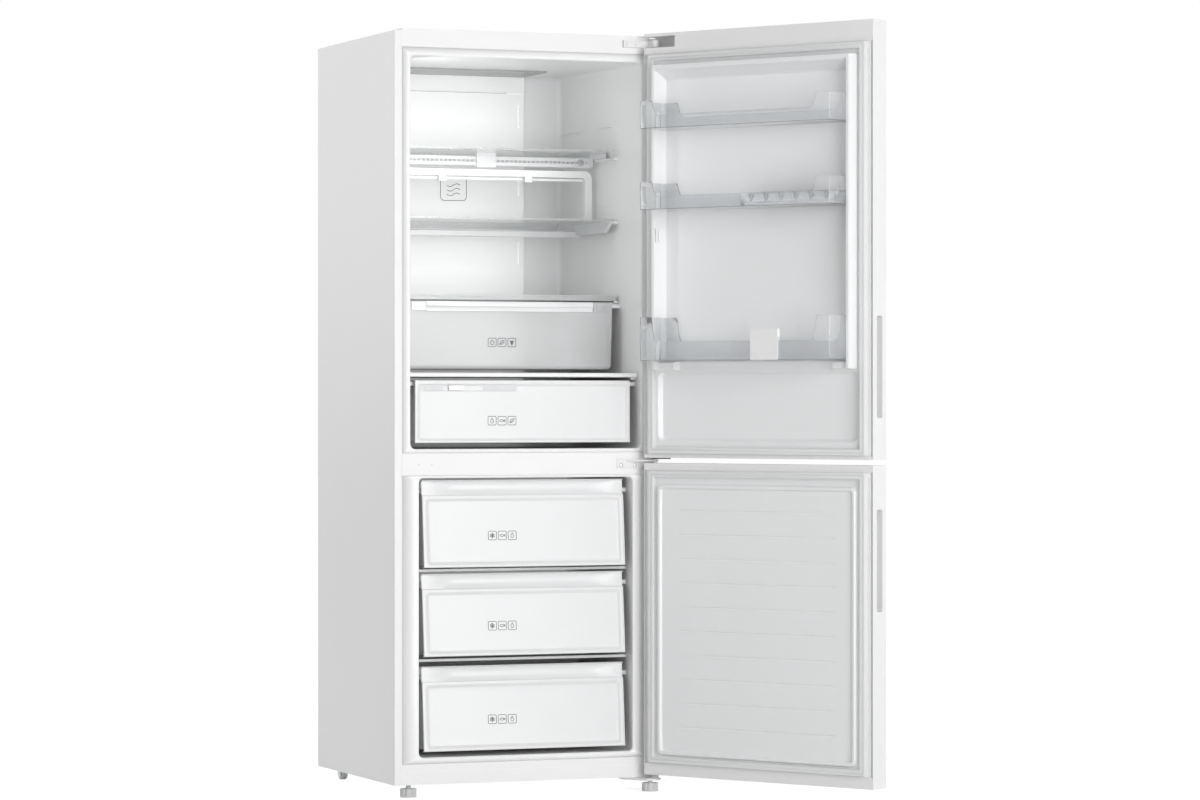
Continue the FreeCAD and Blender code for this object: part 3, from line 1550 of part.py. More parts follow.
def upper_shelf_frame():
    """Frame of the height-adjustable shelf: rear trim, end cheeks and a clear cross bar."""
    z = "upper_shelf_z"
    under = (f"{z}-cheek_tall", z)
    cheek = box(("-shelf_half+1", "-shelf_half+cheek_wide"), ("cheek_front", "shelf_back-trim_thick"), under)
    bar = rounded(
        both_ways("shelf_half-frame_inset"),
        both_ways("cross_bar_deep/2"),
        ("cross_bar_z", "cross_bar_z+cross_bar_tall"),
        "bar_corner",
        "x",
    )
    bar_middle = "(cross_bar_z+cross_bar_tall/2)"
    groove = box(
        both_ways("shelf_half-bar_groove_inset"),
        ("-cross_bar_deep/2-1", "-cross_bar_deep/2+bar_groove_deep"),
        (f"{bar_middle}-bar_groove_tall/2", f"{bar_middle}+bar_groove_tall/2"),
    )
    hanger_x = ("-shelf_half+cheek_wide", "-shelf_half+2*cheek_wide")
    hanger = box(hanger_x, both_ways("hanger_half"), ("cross_bar_z+2", z))
    joint = box(("-shelf_half+1", "-shelf_half+2*cheek_wide"), both_ways("hanger_half"), under)
    clip = rounded(
        both_ways("clip_half"),
        ("-cross_bar_deep/2-clip_out", "-cross_bar_deep/2+bar_corner"),
        ("cross_bar_z-clip_drop", z),
        "bar_corner",
        "y",
    )
    sides = [piece for one in (cheek, hanger, joint) for piece in (one, mirrored(one))]
    return fuse(shelf_rear_trim(z), *sides, cut(bar, groove), clip)


def middle_shelf_frame():
    """Side brackets and cross bar that carry the middle shelf."""
    z = "middle_shelf_z"
    side = prism(
        [
            ("shelf_front", z),
            ("shelf_front+side_bracket_slope", "side_bracket_low"),
            ("side_bracket_back", "side_bracket_low"),
            ("side_bracket_back", z),
        ],
        "YZ_Plane",
        "side_bracket_thick",
    )
    place(side, x="-shelf_half+frame_inset")
    arm = box(
        ("-shelf_half+frame_inset", "-shelf_half+2*cheek_wide"),
        ("side_bracket_back-2", "shelf_back-trim_thick+1"),
        (f"{z}-trim_tall", z),
    )
    bar = rounded(
        both_ways("shelf_half-frame_inset"),
        ("side_bracket_back-under_bar_deep", "side_bracket_back"),
        ("under_bar_low", "under_bar_low+under_bar_tall"),
        "bar_corner",
        "x",
    )
    return fuse(shelf_rear_trim(z), side, mirrored(side), arm, mirrored(arm), bar)


def rack_frame():
    """White hoop that stands on the middle shelf, with two hooks under its top bar."""
    foot_z = "(middle_shelf_z+glass_thick)"
    under = "(rack_top-rack_bar)"
    y = both_ways("rack_deep/2")
    outside = rounded(both_ways("rack_half"), y, (f"{foot_z}-2*rack_corner", "rack_top"), "rack_corner", "y")
    hole = (f"{foot_z}-3*rack_corner", under)
    inside = rounded(both_ways("rack_half-rack_post"), both_ways("rack_deep"), hole, "rack_corner/2", "y")
    below = box(both_ways(HALF), both_ways("rack_deep"), (f"{foot_z}-2*rack_corner-1", foot_z))
    rail_y = ("rack_deep/2-rack_rail_deep", "rack_deep/2")
    rail_z = (f"{under}-rack_rail_drop", f"{under}-rack_rail_drop+rack_rail_tall")
    rail = box(both_ways("rack_half-rack_post+2"), rail_y, rail_z)
    ties = []
    for side in ("-1", "1"):
        x = f"{side}*rack_hook_x"
        wide = (f"{x}-rack_hook_half", f"{x}+rack_hook_half")
        ties.append(box(wide, y, (f"{under}-rack_hook_drop", f"{under}+2")))
    return fuse(cut(outside, inside, below), rail, *ties)


def ledge(inner, top, front="ledge_front"):
    """Rib along the left wall whose top carries a shelf or a cover."""
    return box((f"-{FRIDGE_HALF}", f"-({inner})"), (front, "shelf_back-4"), (f"{top}-ledge_tall", top))


def shelf_ledges():
    """Moulded ribs on both side walls, under the shelves and covers, and two spare ones."""
    ribs = [
        ledge("shelf_half-2", "upper_shelf_z-cheek_tall-runner_gap"),
        ledge("shelf_half-cheek_wide", "middle_shelf_z-runner_gap"),
        ledge("crisper_half+3", "crisper_lid_z-crisper_lid_frame"),
        ledge("chiller_half+8", "chiller_lid_z", "chiller_lid_front+20"),
    ]
    out = (f"-{FRIDGE_HALF}", f"-{FRIDGE_HALF}+rib_out")
    for y in (("rib_front", "rib_front+rib_long"), ("rib_rear", f"{FRIDGE_BACK}-10")):
        ribs.append(rounded(out, y, ("rib_z", "rib_z+rib_tall"), "rib_tall*0.3", "y"))
    return ribs


keep(shelf_glass("upper_shelf_z"), "upper_shelf")
keep(upper_shelf_frame(), "upper_shelf_frame")
keep(shelf_glass("middle_shelf_z"), "middle_shelf")
keep(middle_shelf_frame(), "middle_shelf_frame")
keep(rack_frame(), "rack_frame")

# ---------------------------------------------------------------- crisper and chiller drawers


def drawer_lip(half, back, front, top):
    """Side lip of a drawer that slides on a runner."""
    return box((f"-({half})-lip_out", f"-({half})+1"), (front, back), (f"{top}-lip_thick", top))


def runner(half, wall_half, back, front, top):
    """Fixed runner under a drawer's side lip."""
    return box(
        (f"-({wall_half})", f"-({half})-runner_gap"),
        (front, back),
        (f"{top}-lip_thick-runner_gap-runner_tall", f"{top}-lip_thick-runner_gap"),
    )


def crisper_lid():
    """Glass cover of the crisper, in a plastic frame."""
    plate = ("crisper_lid_z", "crisper_lid_z+glass_thick")
    glass = rounded(both_ways("crisper_lid_half"), ("shelf_front", "shelf_back"), plate, "glass_corner", "z")
    z = ("crisper_lid_z-crisper_lid_frame", "crisper_lid_z")
    front_y = "(shelf_front+lid_frame_inset)"
    front = box(both_ways("crisper_lid_half-2"), (front_y, f"{front_y}+trim_thick"), z)
    rear = box(both_ways("crisper_lid_half-2"), ("shelf_back-frame_inset", "shelf_back"), z)
    side = box(("-crisper_lid_half+1", "-crisper_lid_half+cheek_wide"), (front_y, "shelf_back"), z)
    return fuse(glass, front, rear, side, mirrored(side))


def crisper_drawer():
    """Clear tub of the crisper."""
    tub = open_box(
        both_ways("crisper_half-lip_out"),
        ("crisper_front", "crisper_back"),
        ("crisper_low", "crisper_top"),
        "drawer_wall",
        "drawer_wall",
        "crisper_corner",
    )
    lip = drawer_lip("crisper_half-lip_out", "crisper_back", "crisper_front", "crisper_top")
    return fuse(tub, lip, mirrored(lip))


def crisper_handle():
    """White grip strip along the top of the crisper's front."""
    y = "crisper_front"
    body = prism(
        [
            (y, "crisper_top-handle_tall"),
            (f"{y}-handle_wall", "crisper_top-handle_tall"),
            (f"{y}-handle_wall", "crisper_top-handle_tall*0.45"),
            (f"{y}-handle_out", "crisper_top-handle_tall*0.4"),
            (f"{y}-handle_out", "crisper_top-1"),
            (f"{y}-handle_out+1", "crisper_top"),
            (y, "crisper_top"),
        ],
        "YZ_Plane",
        "2*handle_half",
    )
    return place(body, x="-handle_half")


def chiller_lid():
    """Cover shelf over the chiller drawer."""
    z = ("chiller_lid_z", "chiller_lid_z+chiller_lid_thick")
    deep = ("chiller_lid_front", "shelf_back")
    return rounded(both_ways("chiller_lid_half"), deep, z, "chiller_lid_edge", "x")


def chiller_drawer():
    """Chiller tub with a thicker front and the track of its air slider."""
    tub = open_box(
        both_ways("chiller_half-lip_out"),
        ("chiller_front+2", "chiller_back"),
        ("chiller_low", "chiller_top"),
        "drawer_wall",
        "drawer_wall",
        "chiller_corner",
    )
    face = rounded(
        both_ways("chiller_half"),
        ("chiller_front", "chiller_front+chiller_face"),
        ("chiller_low", "chiller_top"),
        "face_corner",
        "y",
    )
    lip = drawer_lip("chiller_half-lip_out", "chiller_back", "chiller_front+chiller_face", "chiller_top")
    track = rounded(
        ("slider_x-slider_track/2", "slider_x+slider_track/2"),
        ("chiller_front-1", "chiller_front+track_deep"),
        ("slider_z-slider_tall/2-track_margin", "slider_z+slider_tall/2+track_margin"),
        "track_margin",
        "y",
    )
    return cut(fuse(tub, face, lip, mirrored(lip)), track)


def chiller_slider():
    """Small knob that sets the chiller's air flap."""
    return rounded(
        ("slider_x-slider_travel/2-slider_long/2", "slider_x-slider_travel/2+slider_long/2"),
        ("chiller_front-slider_out", "chiller_front+1"),
        ("slider_z-slider_tall/2", "slider_z+slider_tall/2"),
        "3",
        "y",
    )


def freezer_box(low, high, back):
    """Freezer drawer: a tub behind a front that leans back towards its grip band."""
    tub_y = ("box_front+box_lean+6", back)
    rim = f"({high}-box_rim_drop)"
    wide = both_ways("box_half-lip_out")
    tub = open_box(wide, tub_y, (low, rim), "drawer_wall", "drawer_wall", "box_corner")
    front = prism(
        [
            ("box_front", low),
            ("box_front+box_lean*0.75", f"{high}-box_band"),
            ("box_front+box_lean*0.75+5", f"{high}-box_band"),
            ("box_front+box_lean+3", f"{high}-3"),
            ("box_front+box_lean-3", high),
            ("box_front+box_lean+9", high),
            ("box_front+box_lean+9", f"{high}-box_band-4"),
            ("box_front+box_face+6", low),
        ],
        "YZ_Plane",
        "2*box_half",
    )
    place(front, x="-box_half")
    lip = drawer_lip("box_half-lip_out", back, "box_front+box_lean+8", rim)
    return fuse(tub, front, lip, mirrored(lip))


def runners():
    """Fixed runners of the crisper, the chiller and the three freezer drawers."""
    rails = [
        runner("crisper_half-lip_out", FRIDGE_HALF, "crisper_back", "crisper_front+20", "crisper_top"),
        runner("chiller_half-lip_out", FRIDGE_HALF, "chiller_back", "chiller_front+20", "chiller_top"),
    ]
    boxes = {"top_box_high": "box_back", "mid_box_high": "box_back", "low_box_high": "low_box_back"}
    for high, back in boxes.items():
        rails.append(runner("box_half-lip_out", FREEZER_HALF, back, "box_front+40", f"{high}-box_rim_drop"))
    return rails


def freezer_glass_shelves():
    """Two fixed glass plates between the freezer drawers."""
    plates = []
    for low, back in (("glass_shelf_low", STEP_BACK), ("glass_shelf_high", "box_back")):
        y = ("box_front+box_lean+20", back)
        plates.append(box(both_ways(FREEZER_HALF), y, (low, f"{low}+freezer_glass")))
    return group(*plates)


keep(crisper_lid(), "crisper_lid")
keep(crisper_drawer(), "crisper_drawer")
keep(crisper_handle(), "crisper_handle")
keep(chiller_lid(), "chiller_lid")
keep(chiller_drawer(), "chiller_drawer")
keep(chiller_slider(), "chiller_slider")
keep(freezer_box("top_box_low", "top_box_high", "box_back"), "top_freezer_drawer")
keep(freezer_box("mid_box_low", "mid_box_high", "box_back"), "middle_freezer_drawer")
keep(freezer_box("low_box_low", "low_box_high", "low_box_back"), "bottom_freezer_drawer")
supports = shelf_ledges() + runners()
keep(group(*supports, *[mirrored(one) for one in supports]), "wall_supports")
keep(freezer_glass_shelves(), "freezer_glass_shelves")

# ---------------------------------------------------------------- checks and files

doc.recompute()
for obj in doc.Objects:
    if "Invalid" in obj.State or "Error" in obj.State:
        raise RuntimeError(f"{obj.Name} ({obj.Label}) failed: {obj.State}")
for label, obj in parts.items():
    if obj.Shape.isNull() or not obj.Shape.isValid() or not obj.Shape.Solids:
        raise RuntimeError(f"{label} has no valid solid")
os.makedirs("parts", exist_ok=True)
for label, obj in parts.items():
    obj.Shape.exportStep(f"parts/{label}.step")
print(len(parts), "sub-parts,", sum(len(obj.Shape.Solids) for obj in parts.values()), "solids")
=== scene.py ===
"""A white 70 cm bottom freezer refrigerator, standing with both of its doors open."""

import math

import bmesh
import bpy
from mathutils import Matrix, Vector


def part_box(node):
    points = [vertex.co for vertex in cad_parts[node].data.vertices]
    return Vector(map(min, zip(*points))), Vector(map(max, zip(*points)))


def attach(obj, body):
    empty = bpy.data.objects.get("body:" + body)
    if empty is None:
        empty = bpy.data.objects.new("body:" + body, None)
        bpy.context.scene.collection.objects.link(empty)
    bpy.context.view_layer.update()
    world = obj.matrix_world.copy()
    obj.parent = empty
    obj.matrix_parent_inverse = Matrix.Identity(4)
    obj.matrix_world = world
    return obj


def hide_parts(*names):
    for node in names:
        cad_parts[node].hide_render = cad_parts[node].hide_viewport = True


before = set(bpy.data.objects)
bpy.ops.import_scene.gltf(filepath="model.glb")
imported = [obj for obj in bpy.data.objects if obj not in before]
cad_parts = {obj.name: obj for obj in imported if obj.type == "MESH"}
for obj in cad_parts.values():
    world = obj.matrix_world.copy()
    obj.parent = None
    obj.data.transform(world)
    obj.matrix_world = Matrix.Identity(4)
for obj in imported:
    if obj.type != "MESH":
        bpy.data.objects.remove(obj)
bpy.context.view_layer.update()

# ---------------------------------------------------------------- side panels and front rails
# Cold-rolled steel sheet, folded at the front and the back and painted white before it is folded.
# The paint is smooth, with the faint waviness that foam leaves in a thin panel.

MM = 0.001


def finish(name, colour, rough, drift=0.015, drift_size=0.25, relief=0.0, relief_size=0.004, metal=0.0):
    """A material whose colour and gloss drift a little over the piece, with a fine relief in its skin."""
    material = bpy.data.materials.new(name)
    material.use_nodes = True
    nodes, links = material.node_tree.nodes, material.node_tree.links
    shader = nodes["Principled BSDF"]
    shader.inputs["Metallic"].default_value = metal
    where = nodes.new("ShaderNodeTexCoord")
    cloud = nodes.new("ShaderNodeTexNoise")
    cloud.inputs["Scale"].default_value = 1 / drift_size
    cloud.inputs["Detail"].default_value = 3
    links.new(where.outputs["Object"], cloud.inputs["Vector"])
    shade = nodes.new("ShaderNodeMix")
    shade.data_type = "RGBA"
    shade.inputs[6].default_value = (*[c * (1 - drift) for c in colour], 1)
    shade.inputs[7].default_value = (*[min(c * (1 + drift), 1) for c in colour], 1)
    links.new(cloud.outputs["Fac"], shade.inputs[0])
    links.new(shade.outputs[2], shader.inputs["Base Color"])
    gloss = nodes.new("ShaderNodeMapRange")
    gloss.inputs["To Min"].default_value = rough * 0.85
    gloss.inputs["To Max"].default_value = min(rough * 1.15, 1)
    links.new(cloud.outputs["Fac"], gloss.inputs["Value"])
    links.new(gloss.outputs["Result"], shader.inputs["Roughness"])
    if relief:
        grain = nodes.new("ShaderNodeTexNoise")
        grain.inputs["Scale"].default_value = 1 / relief_size
        grain.inputs["Detail"].default_value = 2
        links.new(where.outputs["Object"], grain.inputs["Vector"])
        bump = nodes.new("ShaderNodeBump")
        bump.inputs["Distance"].default_value = relief
        bump.inputs["Strength"].default_value = 0.6
        links.new(grain.outputs["Fac"], bump.inputs["Height"])
        links.new(bump.outputs["Normal"], shader.inputs["Normal"])
    return material


def dress(material, *names):
    """Give solids of the frame their finish."""
    for name in names:
        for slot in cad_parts[name].material_slots:
            slot.material = material


cabinet_paint = finish("cabinet_paint", (0.86, 0.86, 0.86), 0.38, relief=0.00015, relief_size=0.02)
dress(cabinet_paint, "left_side_panel", "right_side_panel", "middle_rail", "base_rail")

# ---------------------------------------------------------------- back panel
# One zinc-coated sheet over the foam, with five long and very shallow beads pressed into it so that
# it doesn't drum, and seven screws down each edge.

zinc_coat = finish(
    "zinc_coat", (0.62, 0.64, 0.65), 0.42, drift=0.10, drift_size=0.03, relief=0.0001, metal=0.85
)
screw_steel = finish("screw_steel", (0.55, 0.56, 0.58), 0.35, drift=0.1, drift_size=0.002, metal=0.9)


def ease(value):
    """A soft step from 0 to 1."""
    value = min(max(value, 0.0), 1.0)
    return value * value * (3 - 2 * value)


def plateau(x, z, half, low, high, radius, slope):
    """1 inside a rectangle with round corners and 0 outside, with a soft edge as wide as slope."""
    middle = (low + high) / 2
    dx = abs(x) - (half - radius)
    dz = abs(z - middle) - ((high - low) / 2 - radius)
    distance = math.hypot(max(dx, 0), max(dz, 0)) + min(max(dx, dz), 0) - radius
    return ease(0.5 - distance / slope)


def grid_lines(low, high, edges, reach, pace):
    """Places of grid lines: close together round each edge and wide apart elsewhere."""
    lines = {low, high}
    for edge in edges:
        lines.update(edge + reach * k / 4 for k in range(-4, 5))
    lines = sorted(v for v in lines if low <= v <= high)
    filled = [lines[0]]
    for value in lines[1:]:
        count = max(1, math.ceil((value - filled[-1]) / pace))
        start = filled[-1]
        filled += [start + (value - start) * k / count for k in range(1, count + 1)]
    return filled


def both(*values):
    """The same places on the left and on the right."""
    return [side * value for value in values for side in (-1, 1)]


def net(code, across, up, point):
    """A sheet of faces through point(a, b) for every pair of grid lines."""
    rows = [[code.verts.new(point(a, b)) for a in across] for b in up]
    for near, far in zip(rows, rows[1:]):
        for i in range(len(across) - 1):
            code.faces.new((near[i], near[i + 1], far[i + 1], far[i]))


def shell(name, code, material, slot, body, *nodes, thickness=0.0, smooth=40, edge=0.0):
    """Turn mesh code into a piece with its material, wall, softened edges, body and CAD nodes; its slot is
    not used.
    """
    mesh = bpy.data.meshes.new(name)
    code.to_mesh(mesh)
    code.free()
    piece = bpy.data.objects.new(name, mesh)
    bpy.context.scene.collection.objects.link(piece)
    mesh.materials.append(material)
    mesh.shade_smooth()
    mesh.set_sharp_from_angle(angle=math.radians(smooth))
    if thickness:
        wall = piece.modifiers.new("wall", "SOLIDIFY")
        wall.thickness = thickness
        wall.offset = -1
    if edge:
        softened = piece.modifiers.new("softened", "BEVEL")
        softened.width = edge
        softened.segments = 2
        softened.limit_method = "ANGLE"
        softened.harden_normals = False
    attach(piece, body)
    if nodes:
        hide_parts(*nodes)


def bridge(code, loops, ends=False):
    """Faces between each closed loop of points and the next and, where asked, over both ends."""
    for near, far in zip(loops, loops[1:]):
        for i in range(len(near)):
            j = (i + 1) % len(near)
            code.faces.new((near[i], near[j], far[j], far[i]))
    if ends:
        code.faces.new(loops[0][::-1])
        code.faces.new(loops[-1])
        bmesh.ops.recalc_face_normals(code, faces=code.faces)


def cross_head_screws(name, places, facing, head, slot, material):
    """Pan-head screws, each a low dome whose middle is struck in a cross."""
    code = bmesh.new()
    turn = Vector((0, 0, 1)).rotation_difference(Vector(facing)).to_matrix()
    # Radius, height and how deep the cross is struck there, all as shares of the head's radius.
    section = (
        (1.0, 0.0, 0), (0.98, 0.3, 0), (0.82, 0.45, 0), (0.62, 0.5, 0), (0.55, 0.5, 0.3), (0.14, 0.5, 0.4),
    )
    for place in places:
        rings = []
        for radius, height, struck in section:
            ring = []
            for i in range(24):
                angle = math.radians(15 * i)
                lift = height - (struck if i % 6 == 0 else 0)
                flat = Vector((radius * math.cos(angle), radius * math.sin(angle), lift))
                ring.append(code.verts.new(Vector(place) + turn @ (flat * head)))
            rings.append(ring)
        bridge(code, rings, ends=True)
    shell(name, code, material, slot, "cabinet", smooth=35)


back_low, back_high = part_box("back_panel")
BEADS = [0.42, 0.72, 1.02, 1.32, 1.62]
BEAD_HALF, BEAD_TALL, BEAD_DEEP = 0.235, 0.016, 0.0006
SCREW_HEAD = 4.2 * MM


def back_sheet_point(x, z):
    """The back sheet with its beads, pressed inwards."""
    deep = sum(plateau(x, z, BEAD_HALF, bead, bead + BEAD_TALL, 0.0079, 0.008) for bead in BEADS)
    return Vector((x, back_high.y - BEAD_DEEP * deep, z))


code = bmesh.new()
across = grid_lines(back_low.x, back_high.x, both(BEAD_HALF), 0.010, 0.05)
up = grid_lines(back_low.z, back_high.z, [b + k for b in BEADS for k in (0, BEAD_TALL)], 0.006, 0.08)
net(code, across[::-1], up, back_sheet_point)
shell("back_sheet", code, zinc_coat, "zinc_steel", "cabinet", "back_panel", thickness=0.7 * MM, smooth=60)
rows = [back_low.z + 0.02 + (back_high.z - back_low.z - 0.04) * k / 6 for k in range(7)]
places = [(side * (back_high.x - 0.008), back_high.y - 2.2 * MM, z) for z in rows for side in (-1, 1)]
cross_head_screws("back_screws", places, (0, 1, 0), SCREW_HEAD, "zinc_steel", screw_steel)

# ---------------------------------------------------------------- base pan and rear cover
# Galvanised pressings: the base plate carries the rollers' ears, and the slotted cover closes the
# machine compartment with four screws.

dress(zinc_coat, "base_pan", "rear_cover")
cover_low, cover_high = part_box("rear_cover")
places = [
    (x, cover_high.y - 1.8 * MM, z)
    for x in (cover_low.x + 0.012, cover_high.x - 0.012)
    for z in (cover_low.z + 0.016, cover_high.z - 0.016)
]
cross_head_screws("rear_cover_screws", places, (0, 1, 0), SCREW_HEAD, "zinc_steel", screw_steel)

# ---------------------------------------------------------------- cooling circuit
# Black enamelled compressor and condenser coil, an aluminium evaporator, and the plastic tray,
# fan and lead gland, all out of sight behind covers.

black_enamel = finish("black_enamel", (0.03, 0.03, 0.03), 0.35, drift=0.2, drift_size=0.02)
bare_aluminium = finish("bare_aluminium", (0.75, 0.76, 0.77), 0.35, drift=0.05, drift_size=0.01, metal=1.0)
dark_moulding = finish("dark_moulding", (0.05, 0.05, 0.055), 0.5, relief=0.0001, relief_size=0.002)
dress(black_enamel, "compressor", "condenser_loop")
dress(bare_aluminium, "evaporator")
dress(dark_moulding, "drip_tray", "cord_gland", "freezer_fan")

# ---------------------------------------------------------------- insulation
# Polyurethane foam, blown between the steel and the liners, where it sets and holds them together.
# It shows nowhere on a finished one.

foam_filling = finish("foam_filling", (0.80, 0.70, 0.42), 0.9, drift=0.08, drift_size=0.01, relief=0.0004)
dress(foam_filling, "cabinet_foam", "fridge_door_foam", "freezer_door_foam")

# ---------------------------------------------------------------- inner tubs
# Each compartment is one sheet of white polystyrene, drawn by vacuum into a mould, so that all its
# corners are round; its flange lies on the cabinet's front and a soft lip leads inwards. The doors'
# liners are of the same stuff; the tubs and the wall supports are painted a lighter white, painted light for
# the shaded compartments.

liner_white = finish("liner_white", (0.86, 0.865, 0.87), 0.33, relief=0.00008, relief_size=0.006)
# Painted light: the tubs' white is lighter than the liners' white of the same plastic, to brighten the
# shaded compartments.
tub_white_painted_light = finish("tub_white_painted_light", (0.935, 0.937, 0.94), 0.33, relief=0.00008, relief_size=0.006)
LIP = 3 * MM
WALL = 2 * MM
BACK_ROUND = 12 * MM
QUARTER = [math.radians(15 * i) for i in range(7)]
# How far short of the corner, and how far off the wall, each point of a rounded back edge lies.
BACK_CURVE = [(BACK_ROUND * (1 - math.sin(turn)), BACK_ROUND * (1 - math.cos(turn))) for turn in QUARTER]


def rounded_loop(half, low, high, radius, steps=6):
    """Points round a rectangle with round corners, anticlockwise."""
    points = []
    corners = ((half, high, 0), (-half, high, 90), (-half, low, 180), (half, low, 270))
    for x, z, start in corners:
        cx = x - math.copysign(radius, x)
        cz = z - radius if z == high else z + radius
        for i in range(steps + 1):
            angle = math.radians(start + 90 * i / steps)
            points.append((cx + radius * math.cos(angle), cz + radius * math.sin(angle)))
    return points


def look_towards(code, side, way):
    """Turn all faces so that the outermost one towards a side looks the given way."""
    bmesh.ops.recalc_face_normals(code, faces=code.faces)
    outermost = max(code.faces, key=lambda face: face.calc_center_median().dot(Vector(side)))
    if outermost.normal.dot(Vector(way)) < 0:
        bmesh.ops.reverse_faces(code, faces=code.faces)


def vacuum_formed_tub(name, node, half, low, high, corner, depths, rim_high):
    """A tub drawn through rings of (y, shrink, low edge), with its lip and its flat front flange."""
    low_box, high_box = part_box(node)
    front = low_box.y
    rings = []
    for i in range(5):
        turn = math.radians(90 * i / 4)
        rings.append((front + LIP * math.sin(turn), -LIP * (1 - math.sin(turn)), low))
    rings += depths
    code = bmesh.new()
    loops = []
    for y, shrink, floor in rings:
        ring = rounded_loop(half - shrink, floor + shrink, high - shrink, max(corner - shrink * 0.5, 0.004))
        loops.append([code.verts.new((x, y, z)) for x, z in ring])
    bridge(code, loops)
    code.faces.new(loops[-1])
    outer = rounded_loop(high_box.x, low_box.z, rim_high, 0.0005, 1)
    rim = [code.verts.new((x, front, z)) for x, z in outer]
    mouth = loops[0]
    edges = [code.edges.new((rim[i - 1], rim[i])) for i in range(len(rim))]
    edges += [code.edges.get((mouth[i - 1], mouth[i])) for i in range(len(mouth))]
    bmesh.ops.triangle_fill(code, use_beauty=True, edges=edges)
    bmesh.ops.dissolve_degenerate(code, dist=0.00001, edges=code.edges)
    look_towards(code, (0, 1, 0), (0, -1, 0))
    shell(name, code, tub_white_painted_light, "liner_plastic", "cabinet", node, thickness=WALL * 0.9)


FRIDGE_HALF, FRIDGE_LOW, FRIDGE_HIGH, FRIDGE_CORNER = 0.3085, 0.862, 1.836, 0.014
FASCIA_TALL, UNDER_FASCIA = 45.5 * MM, 0.3 * MM
rim_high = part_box("top_cover")[1].z - FASCIA_TALL - UNDER_FASCIA
fridge_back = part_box("fridge_liner")[1].y - WALL
depths = [(fridge_back - short, off, FRIDGE_LOW) for short, off in BACK_CURVE]
vacuum_formed_tub(
    "fridge_tub", "fridge_liner", FRIDGE_HALF, FRIDGE_LOW, FRIDGE_HIGH, FRIDGE_CORNER, depths, rim_high
)

FREEZER_HALF, FREEZER_LOW, FREEZER_HIGH, FREEZER_CORNER = 0.286, 0.098, 0.790, 0.012
STEP_FRONT, STEP_HIGH = 0.068, 0.338
freezer_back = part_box("freezer_liner")[1].y - WALL
depths = [(STEP_FRONT - short, 0, FREEZER_LOW + off) for short, off in BACK_CURVE]
depths += [(STEP_FRONT + off, 0, STEP_HIGH - short) for short, off in BACK_CURVE]
depths += [(freezer_back - short, off, STEP_HIGH) for short, off in BACK_CURVE]
rim_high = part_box("freezer_liner")[1].z
vacuum_formed_tub(
    "freezer_tub", "freezer_liner", FREEZER_HALF, FREEZER_LOW, FREEZER_HIGH, FREEZER_CORNER, depths, rim_high
)
dress(tub_white_painted_light, "wall_supports")

# ---------------------------------------------------------------- air duct, freezer back and lamp
# Matt white mouldings clipped to the tubs' backs, and the grey lens of the light strip. The duct's
# white and the freezer back's carry a painted glow, a little light of their own that makes them read
# brighter, and the duct carries a printed mark of three air streams in a frame.

# Painted glow: the duct and the freezer back give off a little light of their own, though neither is a lamp.
PAINTED_DUCT_GLOW = 0.13
duct_white_painted_glow = finish("duct_white_painted_glow", (0.97, 0.97, 0.97), 0.5, drift=0.005)
duct_shader = duct_white_painted_glow.node_tree.nodes["Principled BSDF"]
duct_shader.inputs["Emission Color"].default_value = (1, 1, 1, 1)
duct_shader.inputs["Emission Strength"].default_value = PAINTED_DUCT_GLOW
dress(duct_white_painted_glow, "air_duct", "evaporator_cover")
opal_lens = finish("opal_lens", (0.36, 0.365, 0.37), 0.3, drift=0.01)
dress(opal_lens, "ceiling_lamp")
grey_ink = finish("grey_ink", (0.08, 0.08, 0.085), 0.5, drift=0.05, drift_size=0.002)


def printed_strokes(name, body, slot, strokes, width, point):
    """Printed lines: each stroke is a strip with mitred corners, laid on a surface by point(a, b)."""
    code = bmesh.new()
    for stroke in strokes:
        closed = stroke[0] == stroke[-1]
        line = [Vector(p) for p in (stroke[:-1] if closed else stroke)]
        sides = []
        for i, here in enumerate(line):
            before = line[i - 1] if i or closed else here
            after = line[(i + 1) % len(line)] if i < len(line) - 1 or closed else here
            along = ((here - before).normalized() + (after - here).normalized()).normalized()
            leg = (after - here).normalized() if after != here else (here - before).normalized()
            out = Vector((-along.y, along.x)) * (width / 2) / max(along.dot(leg), 0.5)
            sides.append([code.verts.new(point(*(here + s * out))) for s in (-1, 1)])
        pairs = list(zip(sides, sides[1:])) + ([(sides[-1], sides[0])] if closed else [])
        for near, far in pairs:
            code.faces.new((near[0], far[0], far[1], near[1]))
    shell(name, code, grey_ink, slot, body, thickness=0.05 * MM)


def frame_stroke(cx, cz, half, radius):
    """A rounded square."""
    ring = rounded_loop(half, -half, half, radius, 4)
    return [(cx + x, cz + z) for x, z in ring + ring[:1]]


def wave_stroke(cx, cz, half, height):
    """A gentle wave."""
    return [(cx + half * k / 6, cz + height * math.sin(math.pi * k / 6)) for k in range(-6, 7)]


DUCT_HEAD, INK_PROUD = 4 * MM, 0.1 * MM
duct_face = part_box("air_duct")[0].y + DUCT_HEAD
MARK_X, MARK_Z = 0.0, 1.542
strokes = [frame_stroke(MARK_X, MARK_Z, 0.036, 0.010)]
strokes += [wave_stroke(MARK_X, MARK_Z + dz, 0.019, 0.004) for dz in (-0.020, -0.008, 0.004)]
printed_strokes(
    "air_mark", "cabinet", "duct_plastic", strokes, 1.6 * MM,
    lambda a, b: Vector((a, duct_face - INK_PROUD, b)),
)


def block(code, low, high):
    """A small moulded block from one corner to the opposite one; the piece's softened edges round it."""
    across, deep, up = zip(low, high)
    corners = [code.verts.new((x, y, z)) for x in across for y in deep for z in up]
    for face in ((0, 1, 3, 2), (4, 6, 7, 5), (0, 4, 5, 1), (2, 3, 7, 6), (0, 2, 6, 4), (1, 5, 7, 3)):
        code.faces.new([corners[i] for i in face])


